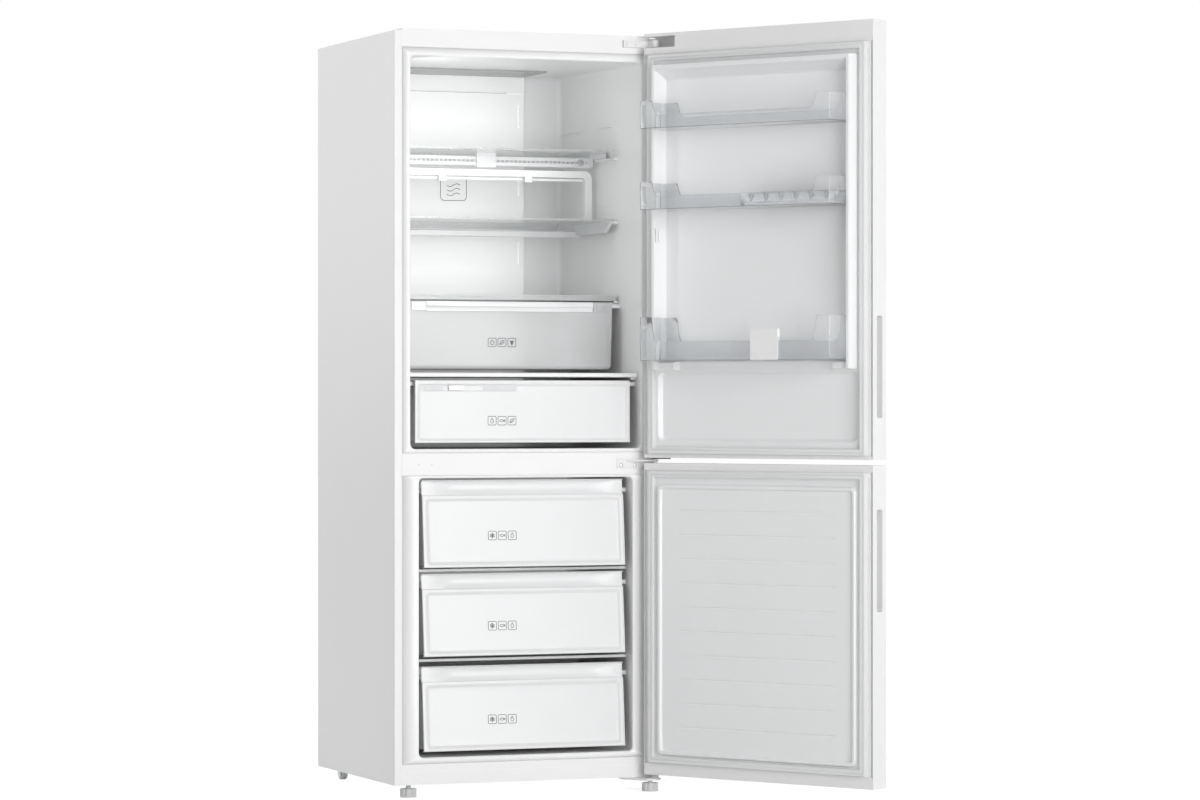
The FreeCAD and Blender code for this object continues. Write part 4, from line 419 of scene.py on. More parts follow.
BAND_HALF, BAND_LOW, BAND_HIGH, BAND_PROUD = 0.150, 1.789, 1.813, 1.2 * MM
band_grey = finish("band_grey", (0.58, 0.585, 0.59), 0.45, drift=0.01)
code = bmesh.new()
block(code, (-BAND_HALF, duct_face - BAND_PROUD, BAND_LOW), (BAND_HALF, duct_face - INK_PROUD, BAND_HIGH))
shell("duct_head_band", code, band_grey, "duct_plastic", "cabinet", edge=0.5 * MM)

# ---------------------------------------------------------------- top cover
# One cover of white plastic, injection-moulded with the fascia in front and snapped onto the steel
# sides.

cover_plastic = finish("cover_plastic", (0.85, 0.85, 0.85), 0.36, relief=0.0001, relief_size=0.003)
dress(cover_plastic, "top_cover")

# ---------------------------------------------------------------- hinges
# White painted pressings with turned pins, held to the front by screws. The doors turn on them at
# the right, and a dark nylon cam under the upper door pulls it shut over the last few degrees.

hinge_paint = finish("hinge_paint", (0.80, 0.80, 0.80), 0.4, drift=0.03, drift_size=0.01)
dress(hinge_paint, "top_hinge", "middle_hinge", "bottom_hinge")
face_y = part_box("middle_rail")[0].y
for name, sideways, proud, z, head, slot, material in (
    ("middle_hinge_screws", (0.2525, 0.290), 2 * MM, 0.819, 5 * MM, "hinge_steel", screw_steel),
    ("top_hinge_screws", (0.266, 0.290), 9.5 * MM, 1.8805, 3.4 * MM, "hinge_steel", hinge_paint),
    ("middle_rail_plugs", (-0.286, -0.252), 0.1 * MM, 0.824, 2.6 * MM, "white_steel", cabinet_paint),
):
    places = [(x, face_y - proud, z) for x in sideways]
    cross_head_screws(name, places, (0, -1, 0), head, slot, material)
HINGE = Vector((0.332, -0.338, 0))
OPEN_ANGLE = math.radians(120)
DOOR_SWING = Matrix.Translation(HINGE) @ Matrix.Rotation(OPEN_ANGLE, 4, "Z") @ Matrix.Translation(-HINGE)


def lathe(code, centre, section, axis="Z"):
    """A turned form: (radius, height) pairs carried round an upright axis, or one that runs to the back."""
    loops = []
    for radius, height in section:
        ring = []
        for i in range(24):
            angle = math.radians(15 * i)
            a, b = radius * math.cos(angle), radius * math.sin(angle)
            place = Vector((a, b, height)) if axis == "Z" else Vector((a, height, b))
            ring.append(code.verts.new(Vector(centre) + place))
        loops.append(ring)
    bridge(code, loops, ends=True)


CAM_LOW, CAM_HIGH, CAM_RADIUS = 0.8350, 0.8386, 9.6 * MM
CAM_ARM, CAM_ARM_HALF = 0.046, 5 * MM
dark_nylon = finish("dark_nylon", (0.07, 0.07, 0.075), 0.45, drift=0.1, drift_size=0.004)
code = bmesh.new()
section = [(CAM_RADIUS - 0.6 * MM, CAM_LOW), (CAM_RADIUS, CAM_LOW + 0.6 * MM), (CAM_RADIUS, CAM_HIGH)]
lathe(code, (HINGE.x, HINGE.y, 0), section)
block(
    code,
    (HINGE.x - CAM_ARM, HINGE.y - CAM_ARM_HALF, CAM_LOW + 0.2 * MM),
    (HINGE.x - 0.006, HINGE.y + CAM_ARM_HALF, CAM_HIGH),
)
code.transform(DOOR_SWING)
shell("closing_cam", code, dark_nylon, "dark_plastic", "fridge_door", edge=0.4 * MM)

# ---------------------------------------------------------------- feet and rollers
# Moulded of grey nylon: two feet in front that screw up and down to level the cabinet, and two
# rollers behind that turn on axles in the base pan.

foot_nylon = finish(
    "foot_nylon", (0.62, 0.62, 0.62), 0.45, drift=0.04, drift_size=0.01, relief=0.0001, relief_size=0.002
)
dress(foot_nylon, "left_foot", "right_foot", "left_roller", "right_roller")

# ---------------------------------------------------------------- door skins, caps and grips
# The door's outside is one painted sheet wrapped round three sides; moulded caps close its ends and
# a moulded cup lines the recessed handle in the free edge.

door_paint = finish("door_paint", (0.87, 0.87, 0.87), 0.34, relief=0.00015, relief_size=0.02)
dress(door_paint, "fridge_door_skin", "freezer_door_skin")
dress(cover_plastic, "fridge_door_caps", "freezer_door_caps")
grip_grey = finish("grip_grey", (0.80, 0.80, 0.80), 0.45, relief=0.0001, relief_size=0.002)
dress(grip_grey, "fridge_door_grip", "freezer_door_grip")

# ---------------------------------------------------------------- door liners
# Vacuum-formed like the tubs, with their edges turned down onto the steel hems: the refrigerator
# door's has two tall rails for the bins, joined by a sloped head, over two sunk panels; the freezer
# door's has one raised frame and a grooved panel.

DOOR_INSIDE = -0.314
SHEET_HALF = 0.34005
SHEET_GROWN = 0.25 * MM
SHEET_TURN = 5 * MM


def formed_sheet(name, node, body, across, up, rise):
    """A sheet drawn over a mould: rise(x, z) is how far it stands in from the door's inner plane."""
    code = bmesh.new()
    turned = SHEET_HALF + 0.1 * MM

    def point(x, z):
        """A point of the sheet; its outermost columns are the turned edges."""
        return Vector((x, DOOR_INSIDE + (rise(x, z) if abs(x) < turned else -SHEET_TURN), z))

    net(code, [turned, *across[::-1], -turned], up, point)
    code.transform(DOOR_SWING)
    shell(name, code, liner_white, "liner_plastic", body, node, thickness=WALL * 0.8, smooth=60)


RAIL_OUT, RAIL_IN, RAIL_RISE = 0.301, 0.290, 0.034
RAIL_LOW, RAIL_HIGH = 1.059, 1.824
PANEL_DEEP = -0.012


def fridge_door_rise(x, z):
    """Relief of the refrigerator door's liner."""
    frame_area = plateau(x, z, RAIL_OUT, RAIL_LOW, RAIL_HIGH, 0.004, 0.004)
    opening = plateau(x, z, RAIL_IN, RAIL_LOW - 0.05, 1.810, 0.004, 0.003)
    rise = RAIL_RISE * frame_area * (1 - opening)
    toe = ease((abs(x) - 0.236) / 0.006) * plateau(x, z, RAIL_OUT, RAIL_LOW, 1.079, 0.008, 0.005)
    rise = max(rise, 0.020 * toe)
    sunk = plateau(x, z, RAIL_IN, 1.081, 1.812, 0.010, 0.004) * opening
    cove = RAIL_RISE * max(0.0, (z - 1.787) / 0.023) if z > 1.787 else 0.0
    rise += (PANEL_DEEP + cove * 1.3) * sunk * (1 - min(toe, 1))
    rise += PANEL_DEEP * plateau(x, z, RAIL_OUT, 0.884, 1.051, 0.014, 0.008)
    return rise


sheet_low, sheet_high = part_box("fridge_door_liner")
across = grid_lines(-SHEET_HALF, SHEET_HALF, both(0.236, RAIL_IN, RAIL_OUT), 0.008, 0.030)
levels = [0.884, 1.051, RAIL_LOW, 1.080, 1.789, 1.808, RAIL_HIGH]
up = grid_lines(sheet_low.z - SHEET_GROWN, sheet_high.z + SHEET_GROWN, levels, 0.009, 0.035)
formed_sheet("fridge_door_inner", "fridge_door_liner", "fridge_door", across, up, fridge_door_rise)

BIN_LEVELS = {"top": 1.659, "middle": 1.457, "bottom": 1.0815}
LUG_LOW, LUG_TALL = 12 * MM, 34 * MM
SPARE_LUG = 1.379
code = bmesh.new()
for foot in [level + LUG_LOW for level in BIN_LEVELS.values()] + [SPARE_LUG]:
    for side in (-1, 1):
        for y in (-0.2998, -0.2892):
            near, far = sorted((side * 0.2874, side * 0.2902))
            block(code, (near, y, foot), (far, y + 5 * MM, foot + LUG_TALL))
        near, far = sorted((side * 0.2880, side * 0.2902))
        block(code, (near, -0.2998, foot + LUG_TALL - 5 * MM), (far, -0.2842, foot + LUG_TALL))
code.transform(DOOR_SWING)
shell("rail_lugs", code, liner_white, "liner_plastic", "fridge_door", edge=0.7 * MM)

GROOVES = [0.707 - 0.0602 * i for i in range(10)]


def freezer_door_rise(x, z):
    """Relief of the freezer door's liner."""
    rise = 0.009 * plateau(x, z, 0.301, 0.0942, 0.772, 0.014, 0.004)
    rise -= 0.006 * plateau(x, z, 0.291, 0.1042, 0.762, 0.010, 0.004)
    ends = ease((0.239 - abs(x)) / 0.004)
    nearest = min(abs(z - groove) for groove in GROOVES)
    rise -= 0.0018 * ends * ease(1 - nearest / 0.003)
    return rise


sheet_low, sheet_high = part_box("freezer_door_liner")
across = grid_lines(-SHEET_HALF, SHEET_HALF, both(0.237, 0.291, 0.301), 0.006, 0.040)
levels = [0.0942, 0.1042, 0.762, 0.772, *GROOVES]
up = grid_lines(sheet_low.z - SHEET_GROWN, sheet_high.z + SHEET_GROWN, levels, 0.004, 0.030)
formed_sheet("freezer_door_inner", "freezer_door_liner", "freezer_door", across, up, freezer_door_rise)

# ---------------------------------------------------------------- door seals
# Soft grey-white vinyl with a magnet strip in its face, extruded, welded at the corners and pushed
# into the groove round the liner; its side folds in like a bellows.

seal_vinyl = finish(
    "seal_vinyl", (0.78, 0.785, 0.79), 0.55, drift=0.02, drift_size=0.05, relief=0.0001, relief_size=0.002
)
SEAL_HALF = 0.330
# How far each point of the section lies in from the seal's outer edge and out from the door, in mm.
SEAL_SECTION = [
    (0.0, 0.0), (0.0, 2.6), (1.9, 3.4), (2.2, 4.2), (0.6, 5.2), (0.5, 8.6), (1.4, 9.6), (3.0, 9.7),
    (7.8, 9.7), (8.5, 9.0), (9.2, 9.7), (14.0, 9.7), (15.6, 9.6), (16.5, 8.6), (16.4, 5.2), (14.8, 4.2),
    (15.1, 3.4), (17.0, 2.6), (17.0, 0.0),
]


def door_seal(name, node, body, low, high):
    """One extruded section carried round the door with mitred corners."""
    code = bmesh.new()
    loops = []
    for sideways, out in SEAL_SECTION:
        x, y = SEAL_HALF - sideways * MM, DOOR_INSIDE + out * MM
        foot, head = low + sideways * MM, high - sideways * MM
        corners = ((x, foot), (x, head), (-x, head), (-x, foot))
        loops.append([code.verts.new((cx, y, cz)) for cx, cz in corners])
    bridge(code, loops + loops[:1])
    bmesh.ops.recalc_face_normals(code, faces=code.faces)
    code.transform(DOOR_SWING)
    shell(name, code, seal_vinyl, "gasket", body, node, smooth=50)


for side in ("fridge", "freezer"):
    low_corner, high_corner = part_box(f"{side}_door_gasket")
    door_seal(f"{side}_door_seal", f"{side}_door_gasket", f"{side}_door", low_corner.z, high_corner.z)

# ---------------------------------------------------------------- door bins
# Injection-moulded clear polystyrene: the long walls dip between two raised ends, and slots in the
# ends, open at the foot, drop over the rails' lugs.

clear_styrene = finish(
    "clear_styrene", (0.95, 0.96, 0.97), 0.05, drift=0.01, drift_size=0.08, relief=0.0001, relief_size=0.01
)
styrene_shader = clear_styrene.node_tree.nodes["Principled BSDF"]
styrene_shader.inputs["Transmission Weight"].default_value = 0.9
styrene_shader.inputs["IOR"].default_value = 1.3
BIN_HALF, BIN_BACK, BIN_FRONT, BIN_CORNER, BIN_WALL = 0.2896, -0.323, -0.215, 0.008, 2.2 * MM
DIP_HALF, DIP_ROUND, DIP_SLOPE = 0.2446, 0.018, 0.006
SLOT_Y = (-0.3004, -0.2836)
SLOT_INSET, FOOT_INSET = 2.8 * MM, 1.5 * MM


def bin_plan():
    """Points round a bin's outside: round corners, and extra ones at the slots and the dips."""
    corners = rounded_loop(BIN_HALF, BIN_BACK, BIN_FRONT, BIN_CORNER, 5)
    bends = [DIP_HALF - DIP_ROUND + DIP_ROUND * k / 4 for k in range(5)]
    bends += [DIP_HALF + DIP_SLOPE * k / 3 for k in (1, 2, 3)]
    front = sorted(set(both(*bends) + [0.05 * k for k in range(-4, 5)]), reverse=True)
    side_y = sorted([*SLOT_Y, -0.27, -0.24], reverse=True)
    plan = corners[:6] + [(x, BIN_FRONT) for x in front] + corners[6:12]
    plan += [(-BIN_HALF, y) for y in side_y] + corners[12:18] + [(x, BIN_BACK) for x in front[::-1]]
    plan += corners[18:] + [(BIN_HALF, y) for y in side_y[::-1]]
    return plan


def bin_height(x, y, tall, dip):
    """How tall a bin's wall is at a point of its plan."""
    if BIN_BACK + 0.1 * MM < y < BIN_FRONT - 0.1 * MM:
        return tall
    inner = DIP_HALF - DIP_ROUND
    if abs(x) <= inner:
        return dip
    if abs(x) <= DIP_HALF:
        return dip + DIP_ROUND - math.sqrt(max(DIP_ROUND ** 2 - (abs(x) - inner) ** 2, 0))
    return dip + DIP_ROUND + (tall - dip - DIP_ROUND) * ease((abs(x) - DIP_HALF) / DIP_SLOPE)


def door_bin(name, node, low, tall, dip):
    """One bin, drawn where it hangs when the door is closed and swung open with it."""
    code = bmesh.new()
    plan = bin_plan()
    slot_share = (LUG_LOW + LUG_TALL + 0.4 * MM) / tall
    shares = [0.03, slot_share * 0.5, slot_share, (1 + slot_share) / 2, 1.0]
    at_slot = [abs(x) == BIN_HALF and y in SLOT_Y for x, y in plan]
    inset = [
        code.verts.new((x * (1 - (SLOT_INSET if slot else FOOT_INSET) / BIN_HALF), y, low))
        for (x, y), slot in zip(plan, at_slot)
    ]
    loops = [
        [code.verts.new((x, y, low + share * bin_height(x, y, tall, dip))) for x, y in plan]
        for share in shares
    ]
    code.faces.new(inset[::-1])
    for level, (near, far) in enumerate(zip([inset, *loops], loops)):
        for i in range(len(plan)):
            j = (i + 1) % len(plan)
            if not (at_slot[i] and at_slot[j] and level < 3):
                code.faces.new((near[i], near[j], far[j], far[i]))
    look_towards(code, (0, 0, -1), (0, 0, -1))
    code.transform(DOOR_SWING)
    shell(
        name, code, clear_styrene, "clear_plastic", node, node, thickness=BIN_WALL, smooth=50, edge=0.5 * MM
    )


door_bin("top_door_bin", "top_bin", BIN_LEVELS["top"], 0.069, 0.033)
door_bin("middle_door_bin", "middle_bin", BIN_LEVELS["middle"], 0.069, 0.033)
door_bin("bottom_door_bin", "bottom_bin", BIN_LEVELS["bottom"], 0.108, 0.047)

# ---------------------------------------------------------------- egg tray and bottle stop
# A clear tray with six round cups, stood in the middle bin, and a white block that clips over the
# bottom bin's front and keeps bottles apart.

TRAY_LEFT, TRAY_RIGHT, TRAY_BACK, TRAY_FRONT = -0.2812, -0.0012, -0.3066, -0.2466
TRAY_TOP, TRAY_TALL, TRAY_DROP = 1.4917, 0.032, 1.5 * MM
CUP_DEEP, CUP_RADIUS, CUP_EDGE, CUP_PITCH = 0.021, 0.018, 3 * MM, 0.045
CUPS = [(TRAY_LEFT + 0.005 + CUP_PITCH * (k + 0.5), (TRAY_BACK + TRAY_FRONT) / 2) for k in range(6)]


def egg_tray_point(x, y):
    """The tray's sheet: six bowls, and sides that drop from a rounded edge."""
    nearest = min(math.hypot(x - cx, y - cy) for cx, cy in CUPS)
    bowl = math.sqrt(max(1 - (nearest / CUP_RADIUS) ** 2, 0))
    deep = CUP_DEEP * bowl * ease((CUP_RADIUS - nearest) / CUP_EDGE + 0.4)
    out = max(TRAY_LEFT - x, x - TRAY_RIGHT, TRAY_BACK - y, y - TRAY_FRONT)
    drop = 0 if out < -TRAY_DROP else TRAY_DROP + out if out <= 0 else TRAY_TALL
    x, y = min(max(x, TRAY_LEFT), TRAY_RIGHT), min(max(y, TRAY_BACK), TRAY_FRONT)
    return Vector((x, y, TRAY_TOP - max(deep, drop * (1 if out > 0 else 0.5))))


def tray_lines(low, high, pace, count):
    """Grid lines of the tray: one past each edge, one on it, and even steps between."""
    return [low - MM, low, *[low + 1.4 * MM + pace * k for k in range(count)], high, high + MM]


code = bmesh.new()
across = tray_lines(TRAY_LEFT, TRAY_RIGHT, 2.7712 * MM, 101)
net(code, across, tray_lines(TRAY_BACK, TRAY_FRONT, 2.6 * MM, 23), egg_tray_point)
code.transform(DOOR_SWING)
shell(
    "egg_cups", code, clear_styrene, "fitting_plastic", "egg_tray", "egg_tray", thickness=1.4 * MM, smooth=50
)

fitting_white = finish("fitting_white", (0.90, 0.90, 0.90), 0.28, relief=0.00005)
dress(fitting_white, "bottle_stop")

# ---------------------------------------------------------------- glass shelves
# Toughened float glass with ground edges, in clear mouldings: the upper one hangs on a toothed bar
# that sets its height, the middle one lies on two brackets with a bar between them, and the two of
# the freezer have pale trims pushed onto their front edges.


def pale_clear(name, colour, rough, body, grazing, relief=0.0):
    """A thin clear moulding or pane: mostly see-through face on, denser where it is seen edgeways."""
    material = finish(name, colour, rough, drift=0.01, drift_size=0.08, relief=relief, relief_size=0.01)
    nodes, links = material.node_tree.nodes, material.node_tree.links
    slant = nodes.new("ShaderNodeLayerWeight")
    slant.inputs["Blend"].default_value = 0.4
    density = nodes.new("ShaderNodeMapRange")
    density.inputs["To Min"].default_value = body
    density.inputs["To Max"].default_value = grazing
    links.new(slant.outputs["Facing"], density.inputs["Value"])
    links.new(density.outputs["Result"], nodes["Principled BSDF"].inputs["Alpha"])
    return material


pane_glass = pale_clear("pane_glass", (0.88, 0.91, 0.90), 0.05, 0.22, 0.80)
shelf_moulding = pale_clear("shelf_moulding", (0.92, 0.93, 0.935), 0.14, 0.80, 0.97)
dress(pane_glass, "upper_shelf", "middle_shelf", "freezer_glass_shelves")
dress(shelf_moulding, "upper_shelf_frame", "middle_shelf_frame")

BAR_FACE, BAR_MIDDLE, BAR_CLIP = -0.007, 1.597, 0.030
TOOTH_PITCH, TOOTH_HALF, TOOTH_UP, TOOTH_DEEP = 12 * MM, 3 * MM, 2.4 * MM, 3 * MM
KNOB_X = 0.262
KNOB_SECTION = [
    (9 * MM, 0), (9 * MM, -2 * MM), (7.6 * MM, -3.2 * MM), (3 * MM, -3.2 * MM), (2.4 * MM, -1.5 * MM),
]
code = bmesh.new()
near = BAR_FACE + 0.2 * MM
for k in range(-22, 23):
    x = TOOTH_PITCH * k
    if abs(x) > BAR_CLIP:
        low = (x - TOOTH_HALF, near, BAR_MIDDLE - TOOTH_UP)
        block(code, low, (x + TOOTH_HALF, near + TOOTH_DEEP, BAR_MIDDLE + TOOTH_UP))
for side in (-1, 1):
    lathe(code, (side * KNOB_X, BAR_FACE - 0.2 * MM, BAR_MIDDLE), KNOB_SECTION, axis="Y")
height_teeth = finish("height_teeth", (0.50, 0.51, 0.52), 0.3, drift=0.2, drift_size=0.01)
shell("height_bar_teeth", code, height_teeth, "clear_plastic", "upper_shelf", edge=0.5 * MM)

TRIM_FRONT, TRIM_BACK, TRIM_HALF, TRIM_TALL = -0.2572, -0.2542, 0.2855, 7 * MM
code = bmesh.new()
shelf_low, shelf_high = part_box("freezer_glass_shelves")
for foot in (shelf_low.z - 1.5 * MM, shelf_high.z + 1.5 * MM - TRIM_TALL):
    block(code, (-TRIM_HALF, TRIM_FRONT, foot), (TRIM_HALF, TRIM_BACK, foot + TRIM_TALL))
shell("freezer_shelf_trims", code, shelf_moulding, "clear_plastic", "cabinet", edge=0.8 * MM)

# ---------------------------------------------------------------- bottle rack
# One glossy white hoop, moulded in one piece, that stands on the middle shelf, with a rail and two
# hooks under its top.

dress(fitting_white, "rack_frame")

# ---------------------------------------------------------------- crisper
# A clear tub that slides on its lips under a framed glass cover, with a white grip strip and a grey
# air slide along the top of its front and three printed signs: apple, leaf and grapes.

lid_glass = pale_clear("lid_glass", (0.86, 0.88, 0.88), 0.08, 0.5, 0.95)
dress(lid_glass, "crisper_lid")
tub_styrene = pale_clear("tub_styrene", (0.85, 0.855, 0.86), 0.12, 0.52, 0.95, relief=0.0001)
FOOT_ROUND, DRAFT = 10 * MM, 3 * MM
LIP_OUT, LIP_THICK = 7.6 * MM, 2.4 * MM


def moulded_tub(code, half, front, back, low, high, corner):
    """Floor and drafted walls of a tub, from the middle of the floor up to the rim."""
    levels = [
        (FOOT_ROUND + DRAFT - FOOT_ROUND * math.sin(turn), low + FOOT_ROUND * (1 - math.cos(turn)))
        for turn in QUARTER
    ]
    levels.append((0.0, high))
    loops = []
    for inset, z in levels:
        ring = rounded_loop(half - inset, front + inset, back - inset, corner)
        loops.append([code.verts.new((x, y, z)) for x, y in ring])
    bridge(code, loops)
    code.faces.new(loops[0][::-1])
    look_towards(code, (0, 0, -1), (0, 0, -1))


def side_lips(code, half, front, back, top):
    """The two lips on which a drawer slides."""
    for side in (-1, 1):
        near, far = sorted((side * (half - 0.5 * MM), side * (half + LIP_OUT)))
        block(code, (near, front, top - LIP_THICK), (far, back, top))


CRISPER_HALF, CRISPER_FRONT, CRISPER_LOW, CRISPER_TOP = 0.285, -0.180, 1.0615, 1.232
LIP_INSET = 12 * MM
crisper_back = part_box("crisper_drawer")[1].y
code = bmesh.new()
moulded_tub(code, CRISPER_HALF, CRISPER_FRONT, crisper_back, CRISPER_LOW, CRISPER_TOP, 0.014)
shell(
    "crisper_tub", code, tub_styrene, "clear_plastic", "crisper", "crisper_drawer",
    thickness=2.3 * MM, edge=0.6 * MM,
)
code = bmesh.new()
side_lips(code, CRISPER_HALF, CRISPER_FRONT + LIP_INSET, crisper_back - LIP_INSET, CRISPER_TOP)
shell("crisper_lips", code, tub_styrene, "clear_plastic", "crisper", "crisper_drawer", edge=0.6 * MM)

grip_white = pale_clear("grip_white", (0.90, 0.905, 0.91), 0.2, 0.9, 1.0)
handle_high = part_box("crisper_handle")[1]
# How far each point of the section lies behind the tub's face and below its rim, in mm.
GRIP_SECTION = [
    (0.0, -25.0), (-2.4, -25.0), (-3.0, -24.4), (-3.0, -15.6), (-3.6, -14.6), (-7.0, -13.2), (-8.0, -12.0),
    (-8.0, -1.6), (-7.2, -0.4), (-6.0, 0.0), (0.0, 0.0),
]
GRIP_MIDDLE = 12.5
code = bmesh.new()
loops = []
for share in (-1.0, -0.985, -0.5, 0, 0.5, 0.985, 1.0):
    deep, tall = (0.72, 0.9) if abs(share) == 1.0 else (1.0, 1.0)
    loops.append([
        code.verts.new((
            share * handle_high.x,
            handle_high.y + y * MM * deep,
            handle_high.z + ((z + GRIP_MIDDLE) * tall - GRIP_MIDDLE) * MM,
        ))
        for y, z in GRIP_SECTION
    ])
bridge(code, loops, ends=True)
shell("crisper_grip", code, grip_white, "fitting_plastic", "crisper", "crisper_handle", smooth=35)
code = bmesh.new()
block(code, (-0.262, handle_high.y - 2.6 * MM, 1.209), (-0.2256, handle_high.y, 1.230))
shell("crisper_grip_end", code, grip_white, "clear_plastic", "crisper", edge=0.6 * MM)
slide_grey = finish("slide_grey", (0.55, 0.56, 0.57), 0.35, drift=0.03, drift_size=0.01)
code = bmesh.new()
block(code, (0.2285, handle_high.y - 2.4 * MM, 1.2085), (0.2700, handle_high.y, 1.2295))
block(code, (0.2360, handle_high.y - 4.6 * MM, 1.2125), (0.2480, handle_high.y - 1.4 * MM, 1.2255))
for x in (0.2525, 0.2575, 0.2625):
    block(code, (x, handle_high.y - 3.2 * MM, 1.2125), (x + 2 * MM, handle_high.y - 1.4 * MM, 1.2255))
shell("crisper_air_slide", code, slide_grey, "clear_plastic", "crisper", edge=0.4 * MM)


def circle_stroke(cx, cz, radius, squash=1.0, start=0, turn=360, steps=14):
    """A circle, or an arc of one."""
    angles = [math.radians(start + turn * k / steps) for k in range(steps + 1)]
    ring = [(cx + radius * math.cos(a), cz + radius * squash * math.sin(a)) for a in angles]
    return ring[:-1] + ring[:1] if turn == 360 else ring


def apple_sign(x, z):
    """An apple with its stalk."""
    return [circle_stroke(x, z - MM, 5.2 * MM, 0.92), [(x, z + 4 * MM), (x + MM, z + 7 * MM)]]


def leaf_sign(x, z):
    """A leaf with its rib."""
    side = [(x - 6 * MM + 12 * MM * k / 8, z - 5 * MM + 10 * MM * k / 8) for k in range(9)]
    bow = [3.4 * MM * math.sin(math.pi * k / 8) for k in range(9)]
    edge_one = [(a - b * 0.7, c + b * 0.8) for (a, c), b in zip(side, bow)]
    edge_two = [(a + b * 0.7, c - b * 0.8) for (a, c), b in zip(side, bow)]
    return [edge_one + edge_two[-2:0:-1] + edge_one[:1], [side[1], side[6]]]


def grapes_sign(x, z):
    """A bunch of grapes."""
    spots = ((-3.2, 2.5), (3.2, 2.5), (0, 2.5), (-1.7, -1.2), (1.7, -1.2), (0, -4.8))
    return [circle_stroke(x + a * MM, z + b * MM, 1.5 * MM, steps=8) for a, b in spots]


def snow_sign(x, z):
    """A snow crystal."""
    arms = []
    for k in range(3):
        a = math.radians(60 * k + 90)
        dx, dz = 6.5 * MM * math.cos(a), 6.5 * MM * math.sin(a)
        arms.append([(x - dx, z - dz), (x + dx, z + dz)])
    for k in range(6):
        a = math.radians(60 * k + 90)
        cx, cz = x + 3.6 * MM * math.cos(a), z + 3.6 * MM * math.sin(a)
        tips = [(cx + 2.6 * MM * math.cos(a + s), cz + 2.6 * MM * math.sin(a + s)) for s in (-0.8, 0.8)]
        arms.append([tips[0], (cx, cz), tips[1]])
    return arms


def fish_sign(x, z):
    """A fish."""
    tail = [(3.6, 0), (7, 2.6), (7, -2.6), (3.6, 0)]
    return [circle_stroke(x - 1.2 * MM, z, 5 * MM, 0.55), [(x + a * MM, z + b * MM) for a, b in tail]]


def drop_sign(x, z):
    """A drop of water."""
    bowl = circle_stroke(x, z - 2 * MM, 4 * MM, 1, 150, 240, 10)
    return [[(x, z + 6.5 * MM)] + bowl + [(x, z + 6.5 * MM)]]


SIGN_PITCH, SIGN_HALF, SIGN_PROUD = 0.0265, 0.0108, 0.15 * MM


def food_signs(name, body, slot, x, z, signs, point):
    """Three signs side by side, each in a rounded frame."""
    strokes = []
    for k, sign in enumerate(signs):
        cx = x + (k - 1) * SIGN_PITCH
        strokes.append(frame_stroke(cx, z, SIGN_HALF, 0.003))
        strokes += sign(cx, z)
    printed_strokes(name, body, slot, strokes, 1.3 * MM, point)


food_signs(
    "crisper_signs", "crisper", "clear_plastic", -0.020, 1.129, (apple_sign, leaf_sign, grapes_sign),
    lambda a, b: Vector((a, CRISPER_FRONT - 0.12 * MM + DRAFT * (CRISPER_TOP - b) / 0.17, b)),
)

# ---------------------------------------------------------------- chiller
# A milky drawer with a dished front, a lever in a slot that lets cold air in, and a white cover
# that doubles as a shelf.

dress(fitting_white, "chiller_lid", "chiller_slider")
milky_styrene = pale_clear("milky_styrene", (0.865, 0.87, 0.875), 0.22, 0.88, 1.0, relief=0.0001)
track_grey = finish("track_grey", (0.70, 0.71, 0.72), 0.4, drift=0.03, drift_size=0.02)
EDGE_STEPS = [(0.0, 6.0), (0.0, 1.6), (0.2, 0.8), (0.8, 0.2), (1.6, 0.0)]


def turned_edges(low, high, edges, reach, pace):
    """Grid lines of a front whose edges turn back round a small radius, each with its turn."""
    middle = grid_lines(low + 1.6 * MM, high - 1.6 * MM, edges, reach, pace)
    lines = [(low + a * MM, b * MM) for a, b in EDGE_STEPS[:-1]] + [(place, 0.0) for place in middle]
    return lines + [(high - a * MM, b * MM) for a, b in EDGE_STEPS[-2::-1]]


CHILLER_HALF, CHILLER_FRONT, CHILLER_LOW, CHILLER_TOP = 0.288, -0.279, 0.877, 1.033
DISH_HALF, DISH_LOW, DISH_HIGH = CHILLER_HALF - 0.010, CHILLER_LOW + 0.008, CHILLER_TOP - 0.012
DISH_DEEP, TUB_INSET = 2.4 * MM, 8 * MM
TRACK_LEFT, TRACK_RIGHT, TRACK_LOW, TRACK_HIGH, TRACK_DEEP = -0.265, -0.015, 1.006, 1.022, 1.2 * MM
FLAP_MARGIN, FLAP_NEAR, FLAP_THICK = 1.5 * MM, 2.8 * MM, 1.2 * MM


def chiller_face(x, z):
    """How far back the chiller's front lies: a sunk panel in a wide frame, and the lever's slot."""
    sunk = plateau(x, z, DISH_HALF, DISH_LOW, DISH_HIGH, 0.006, 0.008)
    middle, half = (TRACK_LEFT + TRACK_RIGHT) / 2, (TRACK_RIGHT - TRACK_LEFT) / 2
    slot = plateau(x - middle, z, half, TRACK_LOW, TRACK_HIGH, 0.002, 0.0015)
    return CHILLER_FRONT + DISH_DEEP * sunk + TRACK_DEEP * slot


